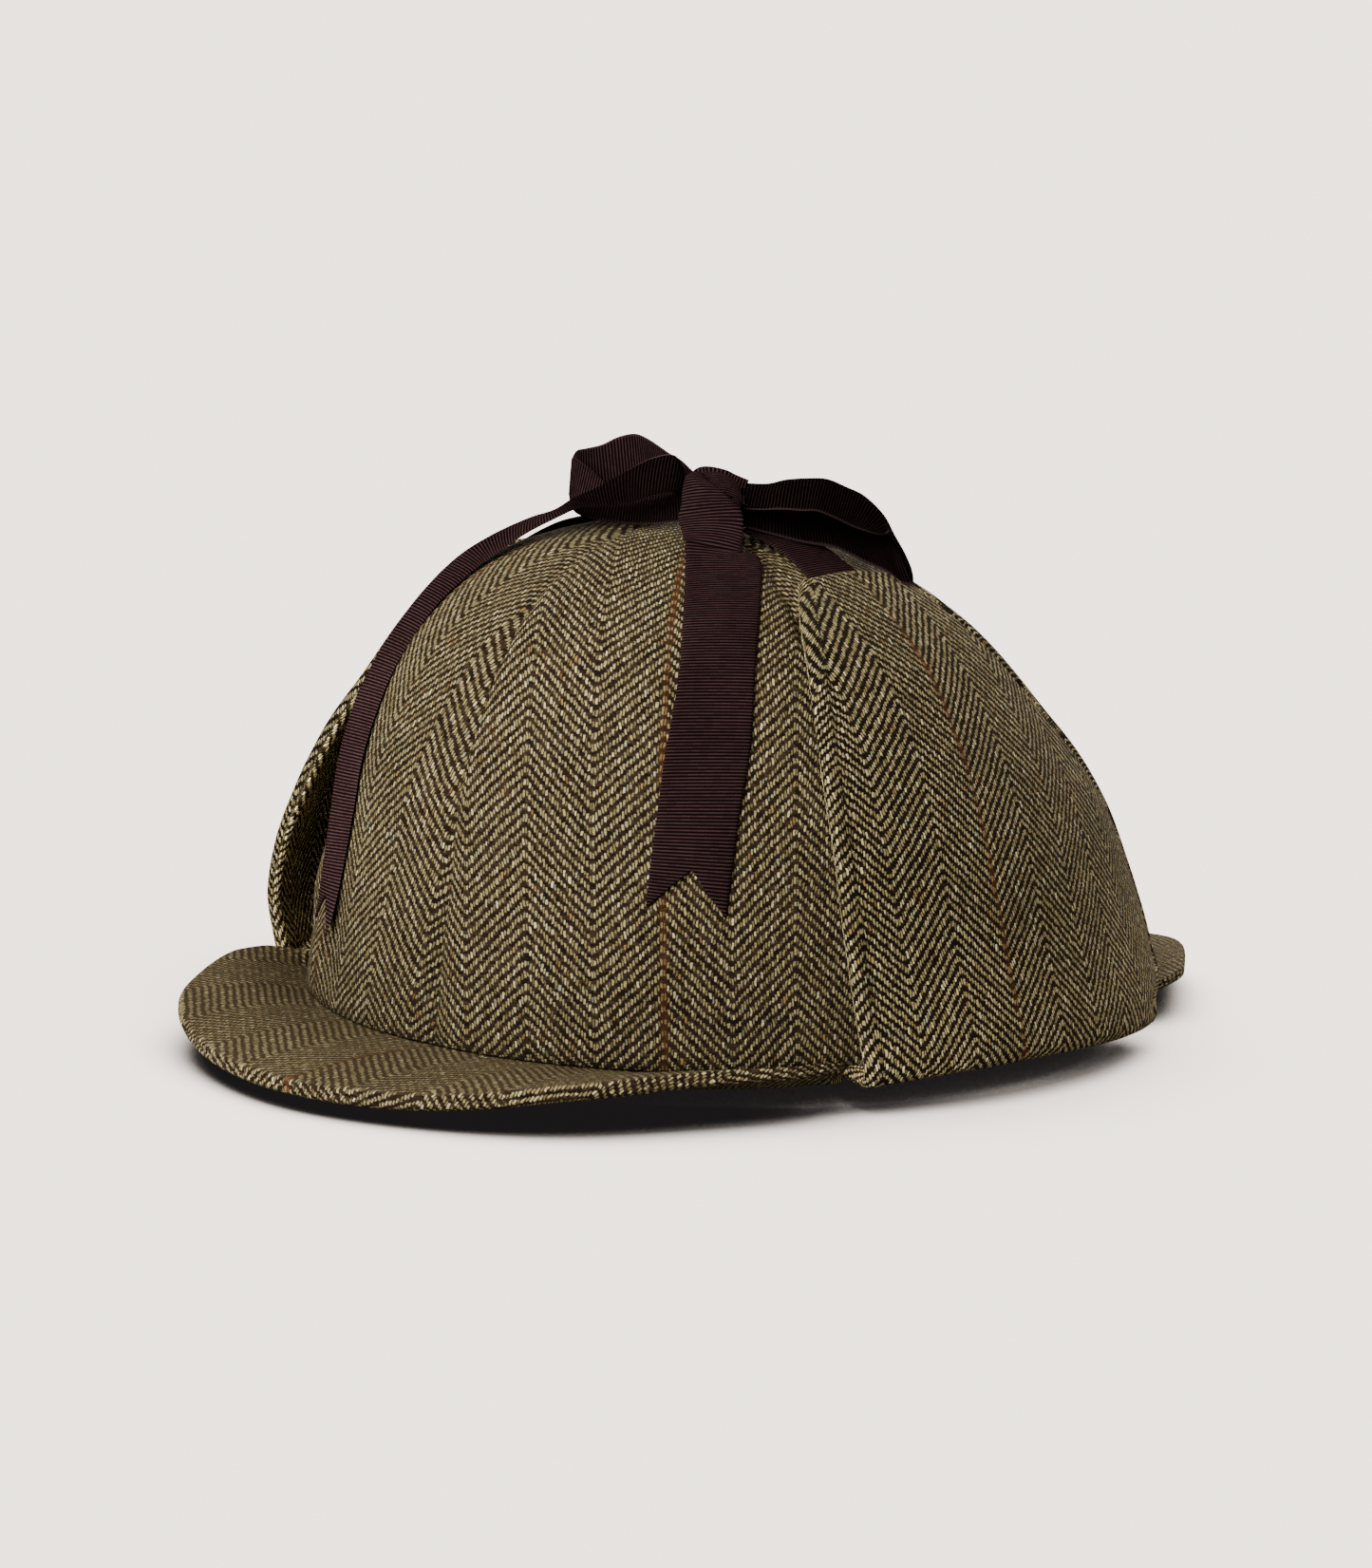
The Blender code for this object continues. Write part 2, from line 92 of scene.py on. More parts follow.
# The rim's section from its top to its under side, with the seam's groove
# half way: how far it stands out, and the share of the way down.
RimRow = namedtuple("RimRow", "push drop")
PEAK_RIM = [
    RimRow(0.04, 0.02), RimRow(0.35, 0.10), RimRow(0.55, 0.24), RimRow(0.50, 0.38),
    RimRow(0.22, 0.47), RimRow(0.20, 0.53), RimRow(0.52, 0.62), RimRow(0.55, 0.76),
    RimRow(0.30, 0.90), RimRow(-0.10, 0.98),
]

# A flap from its fold up: its front and back edges in degrees, and how far it
# stands off the crown on each side of the head.
FlapRow = namedtuple("FlapRow", "height front back gap_left gap_right")
FLAP = [
    FlapRow(0.4, 55.4, 114.0, 7.6, 7.0), FlapRow(5.0, 55.2, 121.5, 8.0, 8.4),
    FlapRow(14.0, 55.0, 125.0, 7.7, 10.8), FlapRow(28.0, 54.9, 125.5, 7.1, 10.6),
    FlapRow(42.0, 55.1, 123.5, 6.3, 7.7), FlapRow(55.0, 55.4, 119.5, 4.6, 4.4),
    FlapRow(67.0, 56.4, 116.0, 3.0, 2.0), FlapRow(78.0, 57.8, 113.0, 1.8, 0.8),
    FlapRow(87.0, 59.8, 110.4, 0.9, 0.6), FlapRow(92.6, 62.4, 108.2, 0.7, 0.6),
    FlapRow(96.3, 65.6, 105.0, 0.6, 0.6),
]
FLAP_COLUMNS, FLAP_ROWS = 111, 92
FLAP_THICK = 3.0
HEM = 4.4                  # from a flap's edge to its row of stitches
LINING_PLACE = 6000.0      # cloth place of a flap's inner face, where it is painted lighter: painted light

# The fold under a flap: share of the way out from the crown's foot, how much
# further, and height.
FoldRow = namedtuple("FoldRow", "share extra height")
FLAP_FOLD = [
    FoldRow(0.0, -1.2, -1.6), FoldRow(0.35, 0.0, -1.6), FoldRow(0.7, 0.2, -1.7),
    FoldRow(0.98, 0.4, -1.7), FoldRow(1.0, 1.0, -1.5), FoldRow(1.0, 1.35, -1.0),
    FoldRow(1.0, 1.5, -0.4),
]

# Where the stripe of the left flap lies: heights, and its angle at each.
FLAP_STRIPE = (
    (0.0, 25.0, 40.0, 54.0, 66.0, 78.0, 96.0),
    (76.7, 77.1, 77.7, 78.8, 80.6, 82.0, 83.0),
)

GORE_COLUMNS, GORE_ROWS = 49, 84
MEAN_RADIUS = 90.0
FULL_WIDTH = 30.0          # a panel narrower than this lies flatter
SEAM_PULL = ((0.95, 1.5), (0.55, 5.0))     # how deep, and how wide
TURN_IN = 1.1              # thickness that a panel loses at its turned-in foot
WALL = 1.5

# How far each panel's stripe lies from its middle, in millimetres.
STRIPE = (2.8, 0.0, 0.0, 0.0, 0.0, 0.0)

# Soft swellings and hollows of the crown: angle, height, spread round and up
# in millimetres, and how far out.
Swell = namedtuple("Swell", "angle height round_mm up_mm out")
SWELLS = [
    Swell(-58, 6, 14, 11, -2.6), Swell(-48, 22, 6, 9, 1.3), Swell(-41, 14, 4, 12, -1.7),
    Swell(-33, 9, 6, 7, 1.2), Swell(-26, 16, 5, 10, -0.9), Swell(-40, 38, 9, 12, 0.7),
    Swell(-10, 12, 10, 9, 0.6), Swell(8, 92, 14, 10, 0.8), Swell(34, 60, 14, 18, 0.5),
    Swell(48, 18, 9, 20, -0.8), Swell(20, 30, 14, 18, 0.4), Swell(-16, 64, 12, 16, 0.5),
    Swell(150, 20, 16, 16, 0.8), Swell(205, 30, 16, 18, 0.8), Swell(180, 60, 20, 20, 0.5),
]

# The two edges of a ribbon, at stations along it.
Edge = namedtuple("Edge", "ax ay az bx by bz")
TAIL_LEFT = [
    Edge(18.9, -51.2, 105.3, 32.0, -42.6, 102.9),
    Edge(24.5, -58.5, 99.5, 34.5, -44.3, 100.1),
    Edge(31.7, -68.6, 90.5, 42.1, -55.6, 91.1),
    Edge(36.3, -75.2, 81.4, 46.9, -63.1, 81.9),
    Edge(38.4, -79.6, 72.7, 49.8, -67.2, 73.2),
    Edge(39.7, -83.5, 63.7, 52.0, -70.8, 64.3),
    Edge(41.2, -87.0, 53.5, 53.6, -75.3, 54.1),
    Edge(41.7, -89.0, 43.9, 54.2, -77.6, 43.6),
    Edge(41.7, -90.0, 33.3, 54.3, -79.3, 31.4),
]
TAIL_RIGHT = [
    Edge(8.6, -38.6, 119.4, 13.6, -46.5, 114.9),
    Edge(5.6, -38.6, 122.6, 12.4, -49.6, 115.4),
    Edge(0.7, -41.0, 121.3, 9.2, -53.8, 113.6),
    Edge(-5.3, -43.3, 117.4, 5.7, -56.6, 112.1),
    Edge(-10.5, -44.9, 114.1, 1.1, -58.5, 111.3),
    Edge(-16.0, -45.5, 111.5, -4.0, -59.0, 110.5),
    Edge(-21.5, -45.0, 108.5, -10.5, -58.0, 108.0),
    Edge(-28.5, -45.0, 106.2, -17.8, -59.6, 103.8),
    Edge(-34.9, -49.9, 102.0, -22.6, -62.8, 99.3),
    Edge(-40.5, -55.6, 96.3, -26.2, -66.3, 95.4),
    Edge(-44.4, -63.2, 87.6, -29.8, -74.6, 87.3),
    Edge(-48.4, -70.0, 76.2, -33.4, -81.0, 76.4),
    Edge(-51.0, -74.5, 65.5, -34.5, -86.0, 66.5),
    Edge(-50.5, -80.0, 53.5, -34.0, -91.5, 55.0),
    Edge(-50.0, -82.5, 42.5, -34.0, -93.5, 44.5),
    Edge(-51.0, -83.0, 31.0, -35.5, -94.0, 33.5),
    Edge(-52.0, -83.0, 22.5, -37.0, -94.5, 24.0),
    Edge(-53.0, -83.0, 16.0, -38.5, -95.5, 15.5),
]
# The ties lie flat from the knot to the top of each flap; the right one
# mirrors the left one, past its own root.
TIE = [
    Edge(20.5, -34.5, 107.3, 20.5, -17.5, 107.8),
    Edge(27.1, -34.2, 105.7, 27.1, -17.2, 106.5),
    Edge(33.0, -34.4, 103.2, 33.0, -17.2, 104.2),
    Edge(37.4, -34.8, 100.7, 38.0, -17.3, 101.6),
    Edge(42.4, -35.3, 97.5, 44.0, -17.6, 98.4),
]
TIE_RIGHT_ROOT = [
    Edge(0.5, -34.0, 108.6, 0.5, -17.5, 109.1),
    Edge(-8.0, -34.0, 108.4, -8.0, -17.0, 108.8),
    Edge(-18.0, -34.2, 107.7, -18.0, -17.0, 108.1),
]
LOOP_LEFT = [
    Edge(13.5, -31.0, 117.5, 17.0, -37.5, 113.0),
    Edge(16.5, -27.0, 117.5, 21.0, -35.0, 112.0), Edge(19.5, -22.0, 117.5, 25.5, -33.0, 112.0),
    Edge(22.0, -18.5, 118.5, 30.0, -32.0, 112.5), Edge(25.0, -14.5, 119.0, 34.0, -29.5, 112.5),
    Edge(27.5, -10.5, 119.0, 36.0, -26.5, 112.5), Edge(29.5, -6.0, 117.5, 38.0, -22.0, 111.0),
    Edge(32.0, -1.5, 115.5, 39.5, -18.0, 109.5), Edge(35.5, 1.5, 111.5, 41.0, -14.5, 108.5),
    Edge(38.5, 2.0, 107.0, 42.0, -12.0, 108.0), Edge(42.5, 0.5, 103.0, 42.5, -9.5, 108.0),
    Edge(47.0, -3.5, 99.5, 41.5, -6.5, 108.5), Edge(49.5, -7.5, 97.5, 39.0, -2.0, 109.0),
    Edge(48.0, -9.5, 97.5, 36.5, -1.5, 110.5), Edge(46.0, -11.5, 99.5, 32.5, -1.5, 112.0),
    Edge(41.5, -14.0, 101.5, 28.5, -2.5, 114.0), Edge(36.5, -19.5, 104.5, 24.5, -6.5, 115.5),
    Edge(32.0, -25.5, 105.5, 20.5, -12.5, 116.0), Edge(27.0, -30.5, 107.0, 18.5, -19.0, 116.0),
    Edge(21.5, -34.5, 108.5, 16.0, -25.5, 116.0), Edge(17.0, -38.0, 110.0, 13.5, -30.0, 116.0),
]
LOOP_RIGHT = [
    Edge(7.0, -31.0, 118.0, 11.0, -36.5, 115.5), Edge(0.5, -28.0, 121.0, 6.0, -34.0, 114.0),
    Edge(-6.0, -24.5, 122.5, 1.5, -32.0, 113.0), Edge(-13.0, -22.5, 125.0, -5.0, -29.5, 111.5),
    Edge(-17.0, -22.5, 126.0, -10.5, -27.5, 110.5), Edge(-21.0, -23.5, 125.0, -14.5, -28.5, 110.0),
    Edge(-24.5, -25.0, 123.0, -17.0, -31.5, 110.0), Edge(-27.0, -27.5, 122.0, -19.5, -36.0, 110.5),
    Edge(-27.5, -30.0, 121.5, -21.0, -39.0, 111.0), Edge(-27.5, -31.5, 120.0, -20.5, -41.0, 112.0),
    Edge(-26.0, -32.5, 120.0, -19.0, -42.5, 109.9), Edge(-22.0, -32.5, 118.0, -15.0, -45.0, 108.2),
    Edge(-17.0, -32.5, 115.0, -9.5, -45.0, 107.3), Edge(-12.0, -31.5, 112.5, -3.0, -44.5, 107.1),
    Edge(-6.0, -31.0, 113.0, 3.5, -44.5, 107.3), Edge(4.5, -32.0, 115.0, 11.5, -42.5, 108.4),
]
# The knot: a band down its front, one turn over its top and a bunched core.
KNOT_BAND = [
    Edge(10.5, -35.5, 117.8, 12.5, -35.5, 117.8), Edge(12.5, -43.0, 118.6, 17.0, -42.5, 118.0),
    Edge(14.0, -46.5, 115.5, 21.5, -43.5, 116.5), Edge(15.0, -48.0, 112.5, 24.5, -42.5, 114.0),
    Edge(15.5, -49.5, 110.0, 26.0, -41.0, 112.0), Edge(16.5, -50.0, 108.0, 27.5, -42.0, 108.5),
    Edge(18.5, -51.5, 106.0, 29.0, -44.5, 105.0), Edge(18.5, -51.0, 105.5, 29.5, -45.0, 103.5),
    Edge(17.0, -48.0, 106.5, 27.0, -42.5, 104.5),
]
KNOT_WRAP = [
    Edge(7.0, -35.0, 118.0, 12.5, -42.5, 114.5), Edge(8.5, -33.5, 120.0, 15.0, -42.5, 116.0),
    Edge(10.5, -32.0, 120.5, 18.5, -41.5, 116.5), Edge(13.5, -30.0, 120.0, 21.0, -40.0, 115.5),
    Edge(15.5, -28.5, 119.0, 22.5, -38.0, 114.0), Edge(17.5, -26.5, 118.0, 23.5, -35.0, 113.0),
]
KNOT_MIDDLE = (16.4, -38.6, 113.5)
KNOT_HALF = (6.6, 7.6, 3.6)
KNOT_ACROSS = (0.82, 0.57, 0.06)
KNOT_UP = (-0.50, 0.585, 0.64)


# ---------------------------------------------------------------- settings

def srgb(code):
    """Linear colour from a hex code."""
    parts = [int(code[k:k + 2], 16) / 255 for k in (1, 3, 5)]
    out = [p / 12.92 if p <= 0.04045 else ((p + 0.055) / 1.055) ** 2.4 for p in parts]
    return (*out, 1.0)


class ClothSettings(bpy.types.PropertyGroup):
    """Sizes and colours of the tweed."""
    thread: bpy.props.FloatProperty(
        name="Thread", description="Width of one thread of the tweed",
        default=0.61 * MM, unit="LENGTH")
    column: bpy.props.FloatProperty(
        name="Column", description="Width of one herringbone column",
        default=14.03 * MM, unit="LENGTH")
    bump: bpy.props.FloatProperty(
        name="Relief", description="Height of the threads",
        default=0.28 * MM, unit="LENGTH")
    roll: bpy.props.FloatProperty(
        name="Roll", description="Radius of a turned edge",
        default=1.9 * MM, unit="LENGTH")
    wave: bpy.props.FloatProperty(
        name="Wave", description="Height of the soft unevenness of the cloth",
        default=0.55 * MM, unit="LENGTH")
    stripe: bpy.props.FloatVectorProperty(
        name="Stripe", description="Colour of the stripe up each panel and flap",
        default=srgb("#5e3c1d")[:3], size=3, min=0.0, max=1.0, subtype="COLOR")


class RibbonSettings(bpy.types.PropertyGroup):
    """Sizes and colours of the ribbon."""
    rib: bpy.props.FloatProperty(
        name="Rib", description="Distance from rib to rib",
        default=0.73 * MM, unit="LENGTH")
    thick: bpy.props.FloatProperty(
        name="Thickness", description="Thickness of the ribbon",
        default=0.5 * MM, unit="LENGTH")
    bump: bpy.props.FloatProperty(
        name="Relief", description="Height of the ribs",
        default=0.14 * MM, unit="LENGTH")
    colour: bpy.props.FloatVectorProperty(
        name="Colour", description="Colour of the ribs",
        default=srgb("#322325")[:3], size=3, min=0.0, max=1.0, subtype="COLOR")
    # Painted shade between the ribs.
    groove_shade: bpy.props.FloatVectorProperty(
        name="Groove", description="Colour between the ribs",
        default=srgb("#090505")[:3], size=3, min=0.0, max=1.0, subtype="COLOR")


class StageSettings(bpy.types.PropertyGroup):
    """Size of the floor and strengths of the lights."""
    floor: bpy.props.FloatProperty(
        name="Floor", description="Half size of the floor",
        default=40.0, unit="LENGTH")
    key: bpy.props.FloatProperty(
        name="Key", description="Strength of the main light", default=10.2)
    back: bpy.props.FloatProperty(
        name="Back light", description="Strength of the light from behind", default=4.2)
    sky: bpy.props.FloatProperty(
        name="Sky", description="Strength of the even light", default=0.8)
    backdrop: bpy.props.FloatProperty(
        name="Backdrop", description="Brightness of the paper behind", default=4.2)


# ------------------------------------------------------------- shape tools

def curve(table, shares, last=None):
    """Catmull-Rom curve through the rows of a table at shares 0..1."""
    rows = np.array(table, dtype=float)
    after = 2 * rows[-1] - rows[-2] if last is None else np.array(last, float)
    full = np.vstack([2 * rows[0] - rows[1], rows, after])
    place = np.clip(np.atleast_1d(shares), 0.0, 1.0) * (len(rows) - 1)
    k = np.minimum(place.astype(int), len(rows) - 2)
    u = (place - k)[:, None]
    p0, p1, p2, p3 = full[k], full[k + 1], full[k + 2], full[k + 3]
    bend = 2 * p0 - 5 * p1 + 4 * p2 - p3
    turn = 3 * p1 - p0 - 3 * p2 + p3
    return 0.5 * (2 * p1 + (p2 - p0) * u + bend * u * u + turn * u ** 3)


STEPS = np.linspace(0.0, 1.0, 1201)
REACH, RISE = curve(CROWN_PROFILE, STEPS, last=(-0.222, 0.985)).T
RISE = np.maximum.accumulate(RISE)


def crown(angle, share):
    """Outside of the crown, for arrays of angles and profile shares."""
    reach = np.interp(share, STEPS, np.maximum(REACH, 0.0))
    rise = np.interp(share, STEPS, RISE)
    x = HALF_WIDTH * reach * np.sin(angle)
    y = -HALF_LENGTH * reach * np.cos(angle) - CROWN_LEAN * rise
    return np.stack([x, y, CROWN_RISE * rise + 0.0 * angle], axis=-1)


def unit(vectors):
    """The same directions at length one."""
    size = np.linalg.norm(vectors, axis=-1, keepdims=True)
    return vectors / np.maximum(size, 1e-12)


def crown_out(angle, share):
    """Outward direction of the crown."""
    step = 0.004
    around = crown(angle + step, share) - crown(angle - step, share)
    low = np.maximum(share - step, 0.0)
    high = np.minimum(share + step, 0.997)
    return unit(np.cross(around, crown(angle, high) - crown(angle, low)))


def share_at(height):
    """Profile share at a height above the crown's foot."""
    return np.interp(np.asarray(height) / CROWN_RISE, RISE, STEPS)


def foot_angle(arc_share):
    """Angle round the foot at a share of its length, from the front."""
    angles = np.linspace(0.0, 2 * math.pi, 1441)
    spots = np.stack([HALF_WIDTH * np.sin(angles), -HALF_LENGTH * np.cos(angles)], -1)
    run = np.concatenate([[0.0], np.cumsum(np.linalg.norm(np.diff(spots, axis=0), axis=1))])
    return float(np.interp(arc_share * run[-1], run, angles))


def ripple(points, size, seed=0.0):
    """Smooth unevenness between -1 and 1 at points in millimetres."""
    flat = np.asarray(points).reshape(-1, 3) / size
    values = [perlin.noise(Vector((p[0] + seed, p[1], p[2]))) for p in flat]
    return np.array(values).reshape(np.shape(points)[:-1])


def run_along(points, axis):
    """Distance along a grid's lines, from its first row or column."""
    steps = np.linalg.norm(np.diff(points, axis=axis), axis=-1)
    zero = np.zeros_like(np.take(steps, [0], axis=axis))
    return np.concatenate([zero, np.cumsum(steps, axis=axis)], axis=axis)


def spread(count, edge):
    """Shares 0..1, closer together near both ends."""
    even = np.linspace(0.0, 1.0, count)
    return (1 - edge) * even + edge * (0.5 - 0.5 * np.cos(math.pi * even))


def add_mesh(name, points, faces, cloth, material):
    """Smooth mesh object with its cloth coordinates in millimetres."""
    mesh = bpy.data.meshes.new(name)
    places = (np.asarray(points) + SHIFT) * MM
    mesh.from_pydata(places.tolist(), [], faces)
    mesh.update()
    layer = mesh.uv_layers.new(name="cloth")
    corners = np.zeros(len(mesh.loops), dtype=np.int32)
    mesh.loops.foreach_get("vertex_index", corners)
    layer.data.foreach_set("uv", np.asarray(cloth, dtype=np.float32)[corners].ravel())
    mesh.polygons.foreach_set("use_smooth", np.ones(len(mesh.polygons), dtype=bool))
    mesh.materials.append(material)
    obj = bpy.data.objects.new(name, mesh)
    bpy.context.scene.collection.objects.link(obj)
    return obj


def grid_faces(rows, columns, start=0, flip=False):
    """Faces of one grid of points."""
    i, j = np.meshgrid(np.arange(rows - 1), np.arange(columns - 1), indexing="ij")
    a = start + i * columns + j
    quads = np.stack([a, a + 1, a + columns + 1, a + columns], axis=-1).reshape(-1, 4)
    return (quads[:, ::-1] if flip else quads).tolist()


def double_sheet(name, front, back, cloth, material, flip=False, lining=None):
    """Closed cloth body between two grids of points of one size."""
    rows, columns = front.shape[:2]
    count = rows * columns
    points = np.vstack([front.reshape(-1, 3), back.reshape(-1, 3)])
    where = np.vstack([cloth.reshape(-1, 2), (cloth if lining is None else lining).reshape(-1, 2)])
    faces = grid_faces(rows, columns) + grid_faces(rows, columns, count, True)
    rim = [(0, j) for j in range(columns)]
    rim += [(i, columns - 1) for i in range(1, rows)]
    rim += [(rows - 1, j) for j in range(columns - 2, -1, -1)]
    rim += [(i, 0) for i in range(rows - 2, 0, -1)]
    for k, (i, j) in enumerate(rim):
        m, n = rim[(k + 1) % len(rim)]
        a, b = i * columns + j, m * columns + n
        faces.append([b, a, a + count, b + count])
    if flip:
        faces = [face[::-1] for face in faces]
    return add_mesh(name, points, faces, where, material)


def rolled(depth, radius):
    """Share of full thickness at a depth in from a turned edge."""
    d = np.clip(depth / radius, 0.0, 1.0)
    return np.sqrt(np.maximum(1 - (1 - d) ** 2, 0.0))


# --------------------------------------------------------------- materials

def add_node(tree, kind, inputs=(), out=0, stops=(), between="LINEAR", **settings):
    """Add a node with its settings and links, and give one of its outputs."""
    made = tree.nodes.new("ShaderNode" + kind)
    for key, value in settings.items():
        setattr(made, key, value)
    for key, value in inputs.items() if isinstance(inputs, dict) else enumerate(inputs):
        if isinstance(value, bpy.types.NodeSocket):
            tree.links.new(value, made.inputs[key])
        else:
            made.inputs[key].default_value = value
    if stops:
        made.color_ramp.interpolation = between
        points = made.color_ramp.elements
        while len(points) < len(stops):
            points.new(0.5)
        for point, (place, code) in zip(points, stops):
            point.position = place
            point.color = srgb(code)
    return made.outputs[out]


def new_material(name):
    """Empty material, its node tree and its shader."""
    material = bpy.data.materials.new(name)
    material.use_nodes = True
    return material, material.node_tree, material.node_tree.nodes["Principled BSDF"]


SMOOTH = {"interpolation_type": "SMOOTHSTEP"}
BLEND = {"out": 2, "data_type": "RGBA", "blend_type": "MIX"}
TINT = {"out": 2, "data_type": "RGBA", "blend_type": "MULTIPLY"}

Noise = namedtuple("Noise", "scale detail rough")
DRIFT_ACROSS = Noise(520.0, 1.0, 0.5)
DRIFT_ALONG = Noise(640.0, 1.0, 0.5)
WEAR = Noise(90.0, 2.0, 0.5)
CLOUDS = Noise(38.0, 3.0, 0.5)
HAIRS = Noise(2600.0, 2.0, 0.7)
RIBBON_CLOUDS = Noise(60.0, 3.0, 0.5)
RIBBON_GRAIN = Noise(3000.0, 2.0, 0.5)

FLOAT_PICKS = 4.0          # picks in one repeat of the twill
RIBBON_WARP = 0.33         # millimetres between the ribbon's warp threads
STRIPE_HALF = 0.75         # half the width of the rust stripe, in millimetres
# Cloth places of the flap's lining, and how many times lighter it is painted there: painted light.
LINING_PAINTED_LIGHT = (2000.0, 3000.0, 1.0, 3.0)

# Light and shade painted along the cloth: each entry is a stretch of cloth in
# millimetres, and the brightness at its two ends. The crown is painted darker
# towards its foot and a little darker at its top, painted shade, and the flap
# is painted lighter near its fold, painted light. The ribbon's are lengths of
# one long strip: from -600 the right loop, from -200 the left loop, from 0 the
# far tail, and from 400 the near tail, the ties and the knot. The stretches
# that lie in the bow's shade are painted darkest, and the far tail is painted
# lighter further from the knot, where it faces the light.
CROWN_PAINTED_SHADE = ((0.0, 44.0, 0.66, 1.0), (92.0, 125.0, 1.0, 0.9))
FLAP_PAINTED_LIGHT = ((-50.0, -12.0, 1.0, 1.3),)
RIBBON_PAINTED_SHADING = (
    (-560.0, -545.0, 0.60, 1.0), (-500.0, -400.0, 1.0, 0.27),
    (25.0, 38.0, 1.0, 1.0 / 0.27), (45.0, 100.0, 1.0, 1.7), (250.0, 350.0, 1.0, 1.0 / 1.7),
)


def tweed(name, light, dark, painted_brightness=1.0, soft=0.0, fades=()):
    """Wool tweed, woven in herringbone and left a little hairy.

    The eye sees pale warp threads that float in diagonal rows over a dark
    weft and turn back at each column, flecks of rust and grey, a worn rust
    stripe up the middle, and no gloss. The thread's width is the photo's, so
    it needs no coarser drawing; the hairs are drawn about 0.4 mm apart, which
    is coarser than wool, so that they show at all. Light and shade are painted
    in too: the weft is painted darker between its picks, each copy has its own
    painted brightness, the given stretches are painted darker or lighter, cloth
    that faces up is painted a plainer, darker brown, and the flap's lining is
    painted lighter.
    """
    cloth = bpy.context.scene.hat_cloth
    thread, column = cloth.thread / MM, cloth.column / MM
    material, tree, shader = new_material(name)
    put = partial(add_node, tree)
    u = put("SeparateXYZ", (put("UVMap", uv_map="cloth"),))
    v = u.node.outputs[1]
    upward = put("SeparateXYZ", (put("NewGeometry", out=1),), out=2)
    place = put("TexCoord", out=3)
    drift_u, drift_v, wear, clouds, hairs = [
        put("TexNoise", {"Vector": place, "Scale": kind.scale, "Detail": kind.detail,
                         "Roughness": kind.rough})
        for kind in (DRIFT_ACROSS, DRIFT_ALONG, WEAR, CLOUDS, HAIRS)]
    # The flap's lining, which lies in the crown's shade, is painted lighter: painted light.
    inner = put("MapRange", (v, *LINING_PAINTED_LIGHT), **SMOOTH)
    # Share of the cloth that faces up: painted shade and less relief there.
    flat = put("MapRange", (upward, 0.6, 0.9, 0.0, soft), **SMOOTH)
    drift_u = put("MapRange", (drift_u, 0.2, 0.8, -0.2, 0.2), **SMOOTH)
    drift_v = put("MapRange", (drift_v, 0.2, 0.8, -0.3, 0.3), **SMOOTH)
    u = put("Math", (u, drift_u), operation="ADD")
    v = put("Math", (v, drift_v), operation="ADD")

    # Warp threads side by side, and the steps of the twill along each one.
    warp_place = put("Math", (u, thread), operation="DIVIDE")
    lane = put("Math", (warp_place,), operation="FLOOR")
    across = put("Math", (warp_place, lane), operation="SUBTRACT")
    odd = put("Math", (1.0, put("Math", (lane, 1.0), operation="PINGPONG")), operation="SUBTRACT")
    middle = put("Math", (lane, 0.5), operation="ADD")
    middle = put("Math", (middle, thread), operation="MULTIPLY")
    zig = put("Math", (middle, column), operation="PINGPONG")
    zig = put("Math", (zig, thread), operation="DIVIDE")
    zig = put("Math", (zig,), operation="FLOOR")
    pick = put("Math", (v, thread), operation="DIVIDE")
    phase = put("Math", (pick, zig), operation="ADD")
    phase = put("Math", (phase, FLOAT_PICKS), operation="DIVIDE")
    cell = put("Math", (phase,), operation="FLOOR")
    pick_cell = put("Math", (pick,), operation="FLOOR")
    pair = put("Math", (put("Math", (lane, 2.0), operation="DIVIDE"),), operation="FLOOR")
    other_lane = put("Math", (lane, 57.0), operation="ADD")
    other_cell = put("Math", (cell, 31.0), operation="ADD")
    fleck, length, weft_fleck, gleam = [
        put("TexWhiteNoise", {"Vector": put("CombineXYZ", pair_of)}, noise_dimensions="3D")
        for pair_of in ((lane, cell), (cell, other_lane), (pair, pick_cell), (lane, other_cell))]

    # Where the warp lies on top, rounded across the thread.
    turn = put("Math", (phase,), operation="FRACT")
    turn = put("Math", (turn, 2 * math.pi), operation="MULTIPLY")
    wave = put("Math", (turn,), operation="SINE")
    low = put("Math", (length, 0.5), operation="MULTIPLY")
    low = put("Math", (low, 0.55), operation="SUBTRACT")
    high = put("Math", (low, 0.75), operation="ADD")
    over = put("MapRange", (wave, low, high, 0.0, 1.0), **SMOOTH)
    across = put("Math", (across, 2.0), operation="MULTIPLY")
    across = put("Math", (across, 1.0), operation="SUBTRACT")
    across = put("Math", (across, across), operation="MULTIPLY")
    round_warp = put("Math", (1.0, across), operation="SUBTRACT")
    thin = put("Math", (odd, 0.18), operation="MULTIPLY")
    thin = put("Math", (0.05, thin), operation="ADD")
    thick = put("Math", (thin, 0.62), operation="ADD")
    wide = put("MapRange", (round_warp, thin, thick, 0.0, 1.0), **SMOOTH)
    warp = put("Math", (over, wide), operation="MULTIPLY")
    pick_turn = put("Math", (put("Math", (pick,), operation="FRACT"), 2.0), operation="MULTIPLY")
    pick_turn = put("Math", (pick_turn, 1.0), operation="SUBTRACT")
    pick_turn = put("Math", (pick_turn, pick_turn), operation="MULTIPLY")
    round_weft = put("Math", (1.0, pick_turn), operation="SUBTRACT")
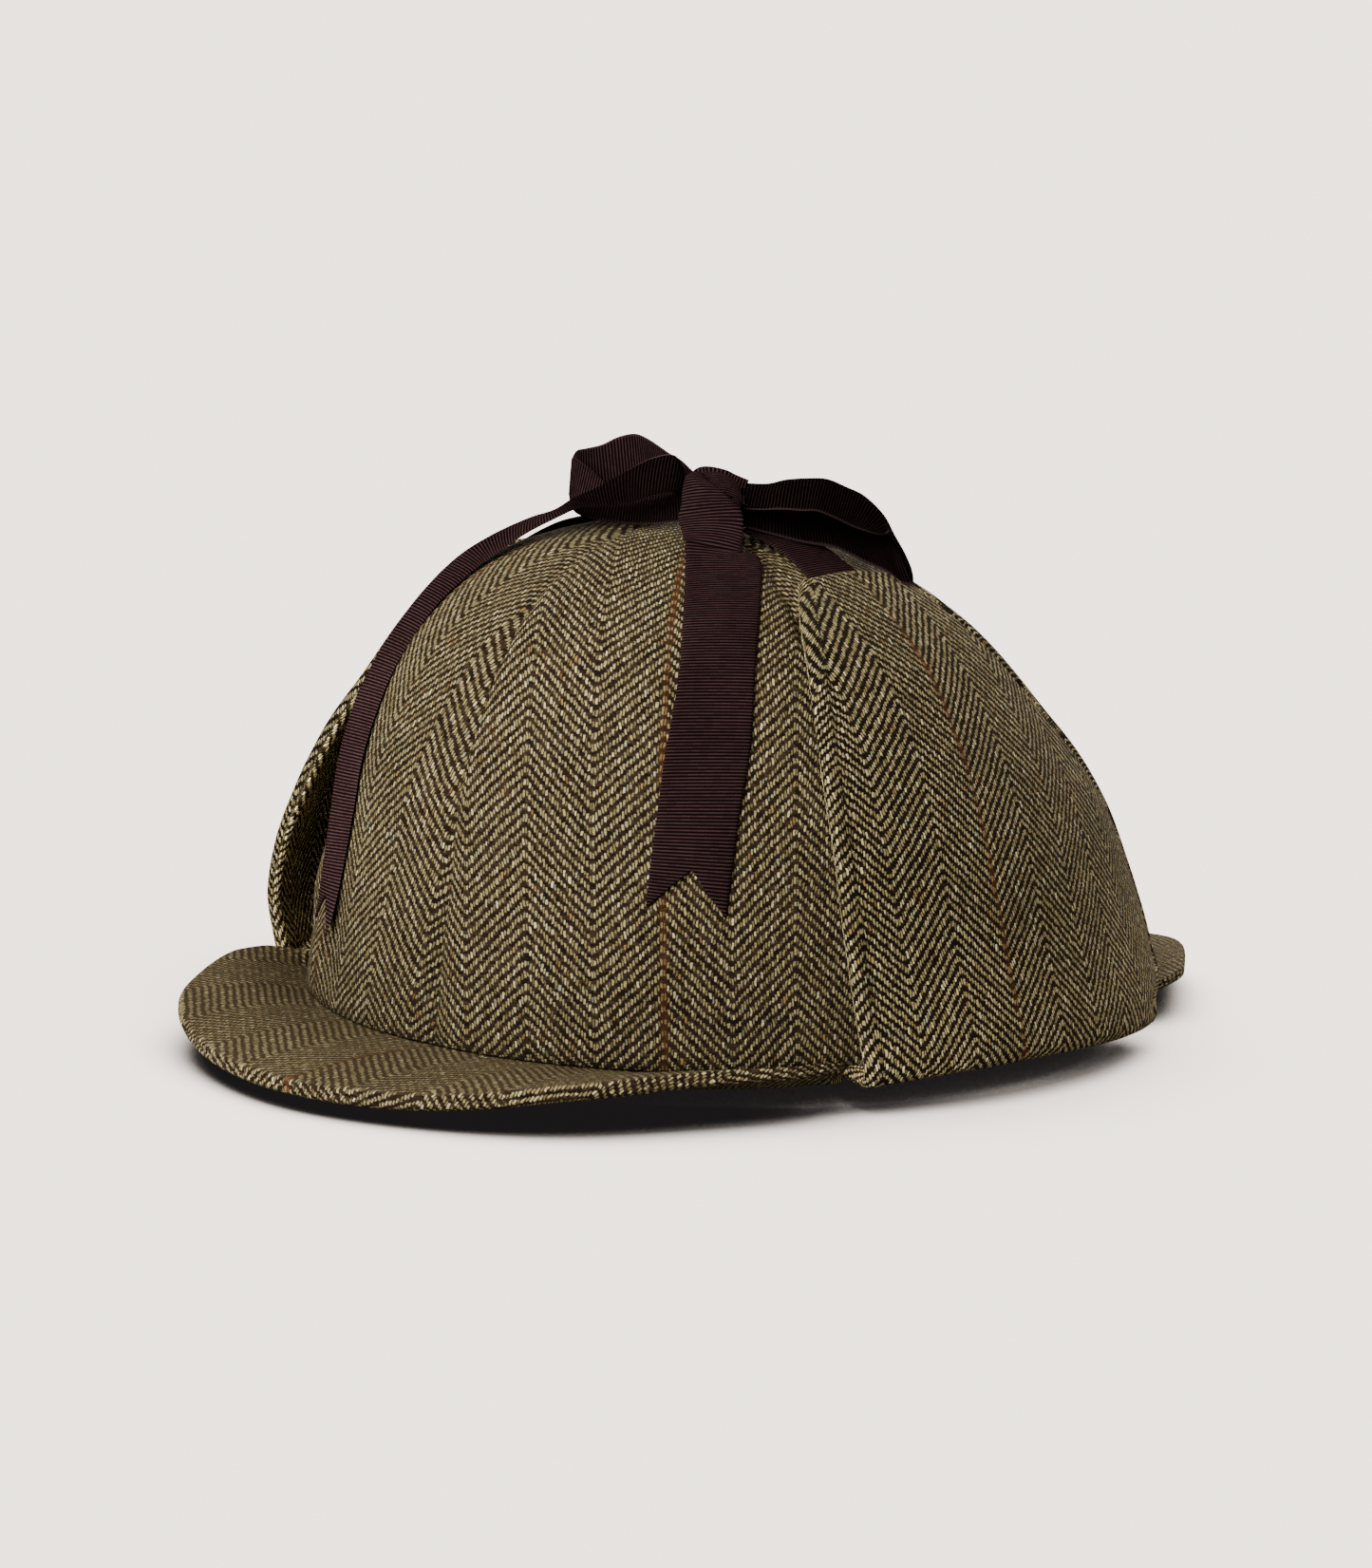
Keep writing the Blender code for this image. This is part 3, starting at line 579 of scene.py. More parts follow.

    # Pale warp and dark weft, both tinted by the worn rust stripe; the weft is
    # painted darker towards the edges of each pick, painted shade between picks.
    pale = put("ValToRGB", (fleck,), stops=light, between="CONSTANT")
    gleam = put("MapRange", (gleam, 0.0, 1.0, 0.68, 1.14), **SMOOTH)
    every_other = put("MapRange", (odd, 0.0, 1.0, 1.0, 0.62), **SMOOTH)
    gleam = put("Math", (gleam, every_other), operation="MULTIPLY")
    pale = put("Mix", {0: 1.0, 6: pale, 7: put("CombineColor", (gleam, gleam, gleam))}, **TINT)
    deep = put("ValToRGB", (weft_fleck,), stops=dark)
    groove_shade = put("Mix", {0: 0.55, 6: deep, 7: srgb("#060402")}, **BLEND)
    weft_shade_mask = put("MapRange", (round_weft, 0.0, 0.7, 0.0, 1.0), **SMOOTH)
    deep = put("Mix", {0: weft_shade_mask, 6: groove_shade, 7: deep}, **BLEND)
    near = put("Math", (u, 0.1), operation="SUBTRACT")
    near = put("Math", (near,), operation="ABSOLUTE")
    near = put("Math", (near, STRIPE_HALF), operation="LESS_THAN")
    worn = put("MapRange", (wear, 0.35, 0.62, 0.35, 1.0), **SMOOTH)
    worn = put("Math", (worn, 0.75), operation="MULTIPLY")
    near = put("Math", (near, worn), operation="MULTIPLY")
    half_near = put("Math", (near, 0.5), operation="MULTIPLY")
    pale = put("Mix", {0: near, 6: pale, 7: (*cloth.stripe, 1.0)}, **BLEND)
    deep = put("Mix", {0: half_near, 6: deep, 7: srgb("#4a2a12")}, **BLEND)
    colour = put("Mix", {0: warp, 6: deep, 7: pale}, **BLEND)

    # Cloth that faces up, on the peaks, is painted a plain brown that hides the
    # weave, and darker: painted shade on the peak's top. The flap's lining is
    # painted lighter: painted light.
    most_near = put("Math", (near, 0.8), operation="MULTIPLY")
    painted_top_colour = put("Mix", {0: most_near, 6: srgb("#62543e"), 7: srgb("#55361c")}, **BLEND)
    colour = put("Mix", {0: flat, 6: colour, 7: painted_top_colour}, **BLEND)
    shade = put("MapRange", (clouds, 0.3, 0.7, 0.80 * painted_brightness, 0.96 * painted_brightness), **SMOOTH)
    # Painted shade and light along the cloth, stretch by stretch.
    for shading_step in fades:
        shading_factor = put("MapRange", (v, *shading_step), **SMOOTH)
        shade = put("Math", (shade, shading_factor), operation="MULTIPLY")
    top_shade_and_lining_light = put("Math", (flat, 0.8), operation="MULTIPLY")
    top_shade_and_lining_light = put("Math", (1.0, top_shade_and_lining_light), operation="SUBTRACT")
    top_shade_and_lining_light = put("Math", (inner, top_shade_and_lining_light), operation="MULTIPLY")
    shade = put("Math", (shade, top_shade_and_lining_light), operation="MULTIPLY")
    hairs = put("MapRange", (hairs, 0.25, 0.75, 0.80, 1.18), **SMOOTH)
    shade = put("Math", (shade, hairs), operation="MULTIPLY")
    colour = put("Mix", {0: 1.0, 6: colour, 7: put("CombineColor", (shade, shade, shade))}, **TINT)

    height = put("Math", (round_weft, 0.35), operation="MULTIPLY")
    height = put("Math", (warp, height), operation="ADD")
    hair_height = put("Math", (hairs, 0.45), operation="MULTIPLY")
    height = put("Math", (height, hair_height), operation="ADD")
    strength = put("Math", (0.8, flat), operation="SUBTRACT")
    relief = put("Bump", {"Height": height, "Strength": strength, "Distance": cloth.bump})
    matt = put("MapRange", (warp, 0.0, 1.0, 0.98, 0.88), **SMOOTH)
    for socket, value in (("Base Color", colour), ("Normal", relief), ("Roughness", matt)):
        tree.links.new(value, shader.inputs[socket])
    # Wool has an IOR of 1.55; the hairy face scatters most of it.
    shader.inputs["IOR"].default_value = 1.15
    shader.inputs["Specular IOR Level"].default_value = 0.3
    shader.inputs["Sheen Weight"].default_value = 0.02
    shader.inputs["Sheen Roughness"].default_value = 0.6
    shader.inputs["Sheen Tint"].default_value = srgb("#d8c9a6")
    return material


def grosgrain(name):
    """Grosgrain ribbon, woven with a thick weft that makes ribs across it.

    The eye sees fine straight ribs, a smooth selvedge with a painted highlight
    inside the bow, and a dull dark maroon with no gloss. The ribs are 0.73 mm
    apart, as in the photo. Shade is painted between the ribs and on the lengths
    that lie inside the bow, and the far tail is painted lighter further out.
    """
    ribbon = bpy.context.scene.hat_ribbon
    material, tree, shader = new_material(name)
    put = partial(add_node, tree)
    u = put("SeparateXYZ", (put("UVMap", uv_map="cloth"),))
    v = u.node.outputs[1]
    place = put("TexCoord", out=3)
    clouds, grain = [
        put("TexNoise", {"Vector": place, "Scale": kind.scale, "Detail": kind.detail,
                         "Roughness": kind.rough})
        for kind in (RIBBON_CLOUDS, RIBBON_GRAIN)]
    rib = put("Math", (v, ribbon.rib / MM), operation="DIVIDE")
    wave = put("Math", (rib, 2 * math.pi), operation="MULTIPLY")
    wave = put("Math", (wave,), operation="SINE")
    ridge = put("MapRange", (wave, -0.5, 1.0, 0.0, 1.0), **SMOOTH)
    warp = put("Math", (u, 2 * math.pi / RIBBON_WARP), operation="MULTIPLY")
    warp = put("Math", (warp,), operation="SINE")

    # Selvedges, with smoother ribs and a painted highlight: faint on the loops,
    # bright on the far tail's upper edge.
    on_loop = put("Math", (v, -50.0), operation="LESS_THAN")
    from_start = put("Math", (v, 20.0), operation="SUBTRACT")
    from_start = put("Math", (from_start,), operation="ABSOLUTE")
    on_start = put("Math", (from_start, 21.0), operation="LESS_THAN")
    loop_selvedge_highlight = put("Math", (u,), operation="ABSOLUTE")
    loop_selvedge_highlight = put("MapRange", (loop_selvedge_highlight, 7.6, 8.3, 0.0, 0.14), **SMOOTH)
    tail_selvedge_highlight = put("MapRange", (u, -8.3, -7.7, 1.0, 0.0), **SMOOTH)
    loop_selvedge_highlight = put("Math", (on_loop, loop_selvedge_highlight), operation="MULTIPLY")
    tail_selvedge_highlight = put("Math", (on_start, tail_selvedge_highlight), operation="MULTIPLY")
    edge = put("Math", (loop_selvedge_highlight, tail_selvedge_highlight), operation="ADD")
    inner = put("Math", (edge, 0.6), operation="MULTIPLY")
    inner = put("Math", (1.0, inner), operation="SUBTRACT")
    ridge = put("Math", (ridge, inner), operation="MULTIPLY")

    strand = put("Math", (put("Math", (u, 0.6), operation="MULTIPLY"),), operation="FLOOR")
    rib_cell = put("Math", (rib,), operation="FLOOR")
    cell_place = put("CombineXYZ", (strand, rib_cell))
    chance = put("TexWhiteNoise", {"Vector": cell_place}, noise_dimensions="3D")
    chance = put("MapRange", (chance, 0.0, 1.0, 0.75, 1.1), **SMOOTH)
    share = put("Math", (ridge, chance), operation="MULTIPLY")
    # The ribs in the ribbon's colour, painted darker between them: painted shade.
    colour = put("Mix", {0: share, 6: (*ribbon.groove_shade, 1.0), 7: (*ribbon.colour, 1.0)}, **BLEND)
    shade = put("MapRange", (clouds, 0.3, 0.7, 0.88, 1.1), **SMOOTH)
    # Painted shade on the lengths inside the bow, and painted light on the far tail.
    for shading_step in RIBBON_PAINTED_SHADING:
        shading_factor = put("MapRange", (v, *shading_step), **SMOOTH)
        shade = put("Math", (shade, shading_factor), operation="MULTIPLY")
    colour = put("Mix", {0: 1.0, 6: colour, 7: put("CombineColor", (shade, shade, shade))}, **TINT)
    # Painted highlight along the selvedges.
    colour = put("Mix", {0: edge, 6: colour, 7: srgb("#594847")}, **BLEND)

    height = put("Math", (warp, 0.12), operation="MULTIPLY")
    height = put("Math", (ridge, height), operation="ADD")
    grain = put("Math", (grain, 0.3), operation="MULTIPLY")
    height = put("Math", (height, grain), operation="ADD")
    relief = put("Bump", {"Height": height, "Strength": 0.6, "Distance": ribbon.bump})
    dull = put("MapRange", (ridge, 0.0, 1.0, 0.9, 0.75), **SMOOTH)
    for socket, value in (("Base Color", colour), ("Normal", relief), ("Roughness", dull)):
        tree.links.new(value, shader.inputs[socket])
    shader.inputs["Specular IOR Level"].default_value = 0.0
    return material


# Yarn colours, each with the share of the threads where it starts. The warp
# begins with its rare flecks of rust and grey.
WARP_TONES = [
    (0.0, "#82683e"), (0.015, "#7e826c"), (0.035, "#857a56"), (0.30, "#918661"),
    (0.58, "#9b906a"), (0.80, "#a89f79"), (0.94, "#b6ae8a"),
]
WEFT_TONES = [(0.0, "#140e0a"), (0.5, "#221913"), (1.0, "#32281d")]
# The flap's weft, painted darker: painted shade of the light that grazes the flaps.
PAINTED_SHADE_WEFT = [(0.0, "#080503"), (0.5, "#100b07"), (1.0, "#1b140d")]


def shared(name):
    """One of the hat's finishes, made once."""
    if name in bpy.data.materials:
        return bpy.data.materials[name]
    # The crown, peak and flap cloths are one tweed in lit and shaded copies. Each has its own
    # painted brightness; the crown is painted darker at its foot, the peak darker and plainer on
    # its top, and the flap's weft darker with its fold lighter.
    if name == "herringbone_cloth":
        return tweed(name, WARP_TONES, WEFT_TONES, painted_brightness=0.97, fades=CROWN_PAINTED_SHADE)
    if name == "peak_cloth":
        return tweed(name, WARP_TONES, WEFT_TONES, painted_brightness=1.06, soft=0.22)
    if name == "flap_cloth":
        return tweed(name, WARP_TONES, PAINTED_SHADE_WEFT, painted_brightness=1.05, fades=FLAP_PAINTED_LIGHT)
    return grosgrain(name)


# ------------------------------------------------------------------- cloth

def crown_swell(angle, height):
    """How far the crown's cloth stands out at an angle and height."""
    out = np.zeros(np.broadcast(angle, height).shape)
    for row in SWELLS:
        off = np.degrees(angle) - row.angle
        off = (off + 180.0) % 360.0 - 180.0
        around = np.radians(off) * MEAN_RADIUS / row.round_mm
        above = (height - row.height) / row.up_mm
        out += row.out * np.exp(-around ** 2 - above ** 2)
    return out


def gore_grid(number, columns, rows):
    """Outside of one crown panel, its outward directions and cloth places.

    The cloth is pulled in along each seam, puckers beside it and swells
    softly between; near the top, where a panel is narrow, all that fades.
    """
    start, end = foot_angle(number / 6), foot_angle((number + 1) / 6)
    across = spread(columns, 0.75)[None, :]
    share = (0.994 * np.linspace(0.0, 1.0, rows) ** 0.95)[:, None]
    angle = start * (1 - across) + end * across + 0 * share
    share = share + 0 * angle
    points = crown(angle, share)
    out = crown_out(angle, share)
    side = run_along(points, 1)
    from_seam = np.minimum(side, side[:, -1:] - side)
    centre = crown(np.full(rows, 0.5 * (start + end)), share[:, 0])
    up = run_along(centre, 0)[:, None]
    small = np.minimum(1.0, side[:, -1:] / FULL_WIDTH)
    wave = bpy.context.scene.hat_cloth.wave / MM
    lift = 0.5 + wave * ripple(points, 34.0, number * 7.3) * small
    pucker = ripple(np.stack([up + 0 * side, 0 * side, 0 * side + number * 3.0], -1), 7.0)
    lift = lift + 0.35 * pucker * np.exp(-(from_seam / 5.0) ** 2) * small
    pull = sum(depth * np.exp(-(from_seam / width) ** 2) for depth, width in SEAM_PULL)
    lift = lift - pull * small
    lift = lift + crown_swell(angle, points[..., 2]) * small
    lift = np.maximum(lift, -0.7 - 0.35 * points[..., 2])
    middle = 0.5 * (start + end)
    centre_side = np.array([np.interp(middle, angle[i], side[i]) for i in range(rows)])[:, None]
    cloth = np.stack([side - centre_side - STRIPE[number], up + 0 * side], -1)
    return points + out * lift[..., None], out, cloth


def make_gore(number):
    """One crown panel as a turned-in cloth of its own."""
    name = GORES[number]
    outside, out, cloth = gore_grid(number, GORE_COLUMNS, GORE_ROWS)
    depth = TURN_IN * rolled(run_along(outside, 0), 1.2)
    outside = outside - out * (TURN_IN - depth)[..., None] * 0.5
    inside = outside - out * WALL
    piece = double_sheet("gore_cloth_" + name, outside, inside, cloth,
                         shared("herringbone_cloth"))
    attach(piece, "root")
    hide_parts("crown_gore_" + name)
    return piece


def peak_columns(side, columns):
    """Angle, foot, outward direction, reach and edge height round a peak."""
    turned = [PeakRow(-row.angle, row.reach, row.edge) for row in PEAK[:0:-1]]
    table = turned + PEAK
    places = np.array([row.angle for row in table], float)
    spots = np.sin(np.linspace(-0.5, 0.5, columns) * math.pi * 0.92)
    degrees = PEAK_END * spots / math.sin(0.46 * math.pi)
    share = np.interp(degrees, places, np.linspace(0, 1, len(places)))
    _, reach, edge = curve(table, share).T
    reach = reach * PEAK_SHARE[side]
    edge = PEAK[0].edge + (edge - PEAK[0].edge) * PEAK_LIFT[side]
    angle = np.radians(degrees)
    out = unit(np.stack([np.sin(angle) / HALF_WIDTH, -np.cos(angle) / HALF_LENGTH], -1))
    foot = np.stack([HALF_WIDTH * np.sin(angle), -HALF_LENGTH * np.cos(angle)], -1)
    return degrees, foot, out, reach, edge


def make_peak(name, side):
    """Stiffened peak: flat top cloth, rolled rim with its seam, under cloth."""
    columns = PEAK_COLUMNS
    degrees, foot, out, reach, edge = peak_columns(side, columns)
    end = (np.abs(degrees) / PEAK_END) ** 3
    top_shares = np.concatenate([[-0.05, 0.0], np.linspace(0.03, 0.93, 26), [0.96, 0.98]])
    low_shares = np.concatenate([[0.98, 0.95], np.linspace(0.9, 0.05, 14), [-0.05]])
    rings, runs = [], []

    def ring(run, height):
        """Add one line of points round the peak."""
        spot = foot + out * run[:, None]
        rings.append(np.stack([spot[:, 0], spot[:, 1] * -side, height], -1))
        runs.append(run)

    def top_height(v):
        """Height of the top at a share of the way out, a little domed."""
        v = np.clip(v, 0.0, 1.0)
        return -0.3 + (edge + 2.3) * v ** 1.2 + 0.9 * np.sin(math.pi * v)

    thick = PEAK_THICK * (1.0 - 0.384 * end)
    for v in top_shares:
        ring(0.6 + (reach - 0.6) * v if v >= 0 else np.full(columns, -1.5), top_height(v))
    rim_top = top_height(0.98) - 0.1
    rim_low = np.maximum(rim_top - thick + 0.5, PEAK_UNDER)
    tall = rim_top - rim_low
    for row in PEAK_RIM:
        ring(reach + row.push * np.minimum(1.0, reach / 6.0) - 0.5, rim_top - tall * row.drop)
    for v in low_shares:
        under = top_height(v) - thick * (1 - 0.1 * (1 - np.clip(v, 0, 1)))
        height = np.maximum(under, PEAK_UNDER)
        ring(0.6 + (reach - 1.2) * v if v >= 0 else np.full(columns, -1.5), height)
    points = np.array(rings)
    rows = len(rings)
    wave = 0.25 * ripple(points * [1, 1, 0], 30.0, 5.0 + side)
    top_rows = len(top_shares)
    points[2:top_rows, :, 2] += wave[2:top_rows]
    along = run_along(points, 0)
    cloth = np.stack([points[..., 0], points[..., 1] * -side], -1)
    turn = along - along[top_rows:top_rows + 1]
    cloth[top_rows:] = cloth[top_rows - 1:top_rows] + out[None] * turn[top_rows:, :, None]
    faces = grid_faces(rows, columns, 0, side > 0)
    closing = []
    for j in range(columns - 1):
        a, b = j, (rows - 1) * columns + j
        closing.append([a, b, b + 1, a + 1] if side < 0 else [a, a + 1, b + 1, b])
    left = [i * columns for i in range(rows)]
    right = [i * columns + columns - 1 for i in range(rows)]
    closing.append(left[::-1] if side > 0 else left)
    closing.append(right if side > 0 else right[::-1])
    piece = add_mesh(name + "_cloth", points.reshape(-1, 3), faces + closing,
                     cloth.reshape(-1, 2), shared("peak_cloth"))
    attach(piece, "root")
    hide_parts(name)
    return piece


def flap_grid(side, columns, rows):
    """Middle surface, outward directions and cloth places of an ear flap."""
    shares = spread(rows, 0.6)
    table = curve(FLAP, shares)
    across = spread(columns, 0.85)[None, :]
    arch = 1.6 * np.sin(math.pi * across) * (shares[:, None] ** 5)
    height = table[:, 0:1] + arch
    gap = (table[:, 3:4] if side > 0 else table[:, 4:5]) + 0 * arch
    angle = np.radians(table[:, 1:2] * (1 - across) + table[:, 2:3] * across)
    share = share_at(np.maximum(height, 0.0)) + 0 * angle
    out = crown_out(angle, share)
    points = crown(angle, share) + out * (gap + 0.5 * FLAP_THICK)[..., None]
    return points, out, angle


def make_flap(name, side):
    """Ear flap folded up: two cloths with a rolled edge, and the fold below."""
    columns = FLAP_COLUMNS
    middle, out, angle = flap_grid(side, columns, FLAP_ROWS)
    fold_rows = []
    gap = FLAP[0].gap_left if side > 0 else FLAP[0].gap_right
    sine, cosine = np.sin(angle[0]), np.cos(angle[0])
    normal = unit(np.stack([sine / HALF_WIDTH, -cosine / HALF_LENGTH], -1))
    foot = np.stack([HALF_WIDTH * sine, -HALF_LENGTH * cosine], -1)
    for row in FLAP_FOLD:
        spot = foot + normal * (gap * row.share + row.extra)
        fold_rows.append(np.concatenate([spot, np.full((columns, 1), row.height)], axis=1))
    fold_rows = np.array(fold_rows)
    lift = np.zeros_like(out[0])
    lift[:, :2] = normal
    fold_out = []
    for k in range(len(FLAP_FOLD)):
        lean = np.clip((k - 2.4) / 2.4, 0.0, 1.0) * math.pi / 2
        down = np.array([0.0, 0.0, -1.0])
        fold_out.append(lift * math.sin(lean) + down * math.cos(lean))
    middle = np.concatenate([fold_rows, middle])

    # The folded edge is lifted a little, most in its front half.
    across = spread(columns, 0.85)[None, :]
    rise = 1.3 + 3.0 * np.maximum(np.sin(math.pi * across), 0.0) ** 0.8 * (1 - 0.7 * across ** 2)
    middle[..., 2] += rise * np.exp(-np.maximum(middle[..., 2], 0.0) / 10.0)
    out = unit(np.concatenate([np.array(fold_out), out]))

    # Thickness: a rolled edge, a soft swell beside it and the sunk stitches.
    side_run = run_along(middle, 1)
    edge_side = np.minimum(side_run, side_run[:, -1:] - side_run)
    up_run = run_along(middle, 0)
    edge_top = up_run[-1:] - up_run
    depth = np.minimum(edge_side, edge_top)
    radius = bpy.context.scene.hat_cloth.roll / MM
    half = 0.5 * FLAP_THICK * np.maximum(rolled(depth, radius), 0.04)
    ridge = 0.35 * np.exp(-((depth - 2.0) / 1.3) ** 2) - 0.55 * np.exp(-((depth - HEM) / 0.8) ** 2)
    start = len(FLAP_FOLD)
    wave = bpy.context.scene.hat_cloth.wave / MM
    soft = wave * 0.8 * ripple(middle, 30.0, 11.0 * side) + 0.18 * ripple(middle, 9.0, 3.0)
    ridge = ridge + soft
    ridge[:start] *= 0.3
    clear = np.clip(edge_top / 20.0, 0.25, 1.0)
    outside = middle + out * (half + ridge * clear)[..., None]
    inside = middle - out * (half * 0.8 + 0.6 * ridge * clear)[..., None]

    # Cloth places run from the stripe, and turn back in the hem.
    level = middle[..., 2].mean(axis=1)
    line = np.radians(np.interp(level, *FLAP_STRIPE) if side > 0 else 90.0 + 0 * level)
    turns = np.concatenate([np.repeat(angle[:1], start, axis=0), angle])
    places = []
    for grid in (inside, outside):
        run = run_along(grid, 1)
        centre = np.array([np.interp(line[i], turns[i], run[i]) for i in range(len(turns))])
        width = run[:, -1:]
        turned = np.where(run < HEM, 2 * HEM - run, run)
        turned = np.where(run > width - HEM, 2 * (width - HEM) - run, turned)
        spots = np.array([[np.interp(line[i], turns[i], outside[i, :, k]) for k in range(3)]
                          for i in range(len(turns))])
        up = run_along(spots[:, None], 0)
        places.append(np.stack([(turned - centre[:, None]) * side, 0 * run - up], -1))
        grid[..., 0] *= side
    piece = double_sheet(name + "_cloth", outside, inside, places[1], shared("flap_cloth"),
                         flip=side < 0, lining=places[0] + [0.0, LINING_PLACE])
    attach(piece, "root")
    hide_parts(name)
    return piece


# ----------------------------------------------------------------- ribbons

RIBBON_COLUMNS = 25
RIBBON_WIDTH = 17.0
PINCH_RUN = 8.0            # how far the gathers run out from the knot
KNOT_PLACE = 400.0         # the knot's place on the strip along which light and shade are painted on the ribbon


def ribbon_grid(table, stations, columns, bow=0.0, notch=0.0):
    """Middle surface of a ribbon, its face side and the length along it."""
    edges = curve(table, np.linspace(0.0, 1.0, stations))
    a, b = edges[:, None, :3], edges[:, None, 3:]
    u = np.linspace(0.0, 1.0, columns)[None, :, None]
    middle = a * (1 - u) + b * u
    along = np.gradient(0.5 * (a + b)[:, 0], axis=0)
    normal = unit(np.cross(along, (b - a)[:, 0]))[:, None, :]
    middle = middle + normal * (bow * (1 - (2 * u - 1) ** 2))
    run = run_along(middle, 0)
    centre = run[:, columns // 2].copy()
    along = centre[:, None] + 0 * run
    if notch:
        last = run[-1:, :]
        cut = notch * (1 - np.abs(2 * u[..., 0] - 1))
        keep = (last - cut) / last
        shares = np.linspace(0.0, 1.0, stations)[:, None] * keep
        for j in range(columns):
            line = middle[:, j].copy()
            place = run[:, j] / last[0, j]
            for k in range(3):
                middle[:, j, k] = np.interp(shares[:, j], place, line[:, k])
            along[:, j] = np.interp(shares[:, j], place, centre)
    return middle, normal + 0 * middle, along


def ribbon_body(name, middle, normal, along, flip=False):
    """Ribbon body with a rounded selvedge."""
    thick = bpy.context.scene.hat_ribbon.thick / MM
    u = np.linspace(-0.5, 0.5, middle.shape[1])[None, :]
    half = 0.5 * thick * np.sqrt(np.maximum(1 - (np.abs(u) * 2) ** 24, 0.02)) + 0 * along
    front = middle + normal * half[..., None]
    back = middle - normal * half[..., None]
    cloth = np.stack([u * RIBBON_WIDTH + 0 * along, along], -1)
    return double_sheet(name, front, back, cloth, shared("ribbed_ribbon"), flip)


def mirrored(table):
    """The same ribbon on the other side of the head."""
    return [Edge(-row.ax, row.ay, row.az, -row.bx, row.by, row.bz) for row in table]


# Each ribbon's edges, how many stations it gets, how far it bows across, the
# depth of its notch, its place on the strip along which light and shade are
# painted on the ribbon, and how hard the knot gathers its ends.
Ribbon = namedtuple("Ribbon", "name node table stations bow notch place pinch held")
RIBBONS = (
    Ribbon("tie_ribbon_left", "flap_tie_left", TIE, 60, 0.35, 0.0, 400.0, 0.0, "laid"),
    Ribbon("tie_ribbon_right", "flap_tie_right", TIE_RIGHT_ROOT + mirrored(TIE[1:]),
           80, -0.35, 0.0, 400.0, 0.0, "laid"),
    Ribbon("loop_ribbon_left", "bow_loop_left", LOOP_LEFT,
           240, 0.0, 0.0, -200.0, 0.8, "folded"),
    Ribbon("loop_ribbon_right", "bow_loop_right", LOOP_RIGHT,
           220, 0.0, 0.0, -600.0, 0.7, "folded"),
    Ribbon("tail_ribbon_left", "bow_tail_left", TAIL_LEFT, 160, 0.35, 9.0, 400.0, 0.0, "laid"),
    Ribbon("tail_ribbon_right", "bow_tail_right", TAIL_RIGHT, 260, 0.45, 8.0, 0.0, 0.0, "laid"),
)


def make_ribbon(row):
    """Ribbon piece that stands for a CAD node, gathered where the knot pinches it."""
    middle, normal, along = ribbon_grid(row.table, row.stations, RIBBON_COLUMNS,
                                        row.bow, row.notch)
    if row.pinch:
        near = np.exp(-along / PINCH_RUN) + np.exp(-(along[-1:] - along) / PINCH_RUN)
        fold = np.sin(np.linspace(0.6, 10.0, RIBBON_COLUMNS))[None, :] * near * row.pinch
        middle = middle + normal * fold[..., None]
    piece = ribbon_body(row.name, middle, normal, along + row.place, flip=True)
    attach(piece, "root")
    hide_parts(row.node)
    return piece


def knot_core():
    """Ribbon bunched inside the knot, as a grid closed round and at both ends."""
    across = unit(np.array(KNOT_ACROSS))
    up = np.array(KNOT_UP)
    up = unit(up - across * float(up @ across))
    out = np.cross(across, up)
    rings, spots = 36, 64
    lift = np.linspace(-0.5, 0.5, rings)[:, None] * math.pi * 0.98
    turn = np.linspace(0.0, 2 * math.pi, spots, endpoint=False)[None, :]
    wide, high = np.cos(lift) ** 0.6, np.sin(lift)
    points = (np.array(KNOT_MIDDLE) + across * (KNOT_HALF[0] * wide * np.cos(turn))[..., None]
              + up * (KNOT_HALF[1] * high + 0 * turn)[..., None]
              + out * (KNOT_HALF[2] * wide * np.sin(turn))[..., None])
    cloth = np.stack([8.0 * np.cos(turn) + 0 * lift, KNOT_PLACE + 8.0 * high + 0 * turn], -1)
    faces = []
    for i in range(rings - 1):
        for k in range(spots):
            n, a, b = (k + 1) % spots, i * spots, (i + 1) * spots
            faces.append([a + k, a + n, b + n, b + k])
    faces += [list(range(spots))[::-1], list(range((rings - 1) * spots, rings * spots))]
    return add_mesh("bow_knot_wrap", points.reshape(-1, 3), faces, cloth.reshape(-1, 2),
                    shared("ribbed_ribbon"))


def make_knot():
    """Knot: ribbon bunched inside, one turn over it and the band in front."""
    parts = [knot_core()]
    columns = 31
    for name, table, bow, crease in (("knot_turn", KNOT_WRAP, 1.6, 0.28),
                                     ("knot_band", KNOT_BAND, 1.1, 0.0)):
        middle, normal, along = ribbon_grid(table, 70, columns, bow)
        creased = crease * np.sin(np.linspace(0.0, 9.0, columns))[None, :, None]
        parts.append(ribbon_body(name, middle + normal * creased, normal, along + KNOT_PLACE))
    bpy.ops.object.select_all(action="DESELECT")
    for other in parts[1:]:
        other.select_set(True)
    piece = parts[0]
    piece.select_set(True)
    bpy.context.view_layer.objects.active = piece
    bpy.ops.object.join()
    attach(piece, "root")
    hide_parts("bow_knot")
    return piece


# ------------------------------------------------------------------- stage

PAPER = "#e8dcd2"
FLOOR_LEVEL = -3.0         # millimetres, which leaves the photo's dark gap below the peaks
SUN_SOFTNESS = 55.0        # degrees

Lamp = namedtuple("Lamp", "name left forward up colour")
LAMPS = (
    Lamp("key_light", 0.47, 0.70, 0.28, "#fffaf2"),
    Lamp("back_light", -0.35, -0.75, 0.50, "#fff4ea"),
)
LEFT, FORWARD = (-0.82, -0.57, 0.0), (0.57, -0.82, 0.0)

# How far the floor's painted shadow reaches: close under the peaks, and under the whole hat.
CONTACT_REACH = 0.055      # metres
COVER_REACH = 0.3          # metres

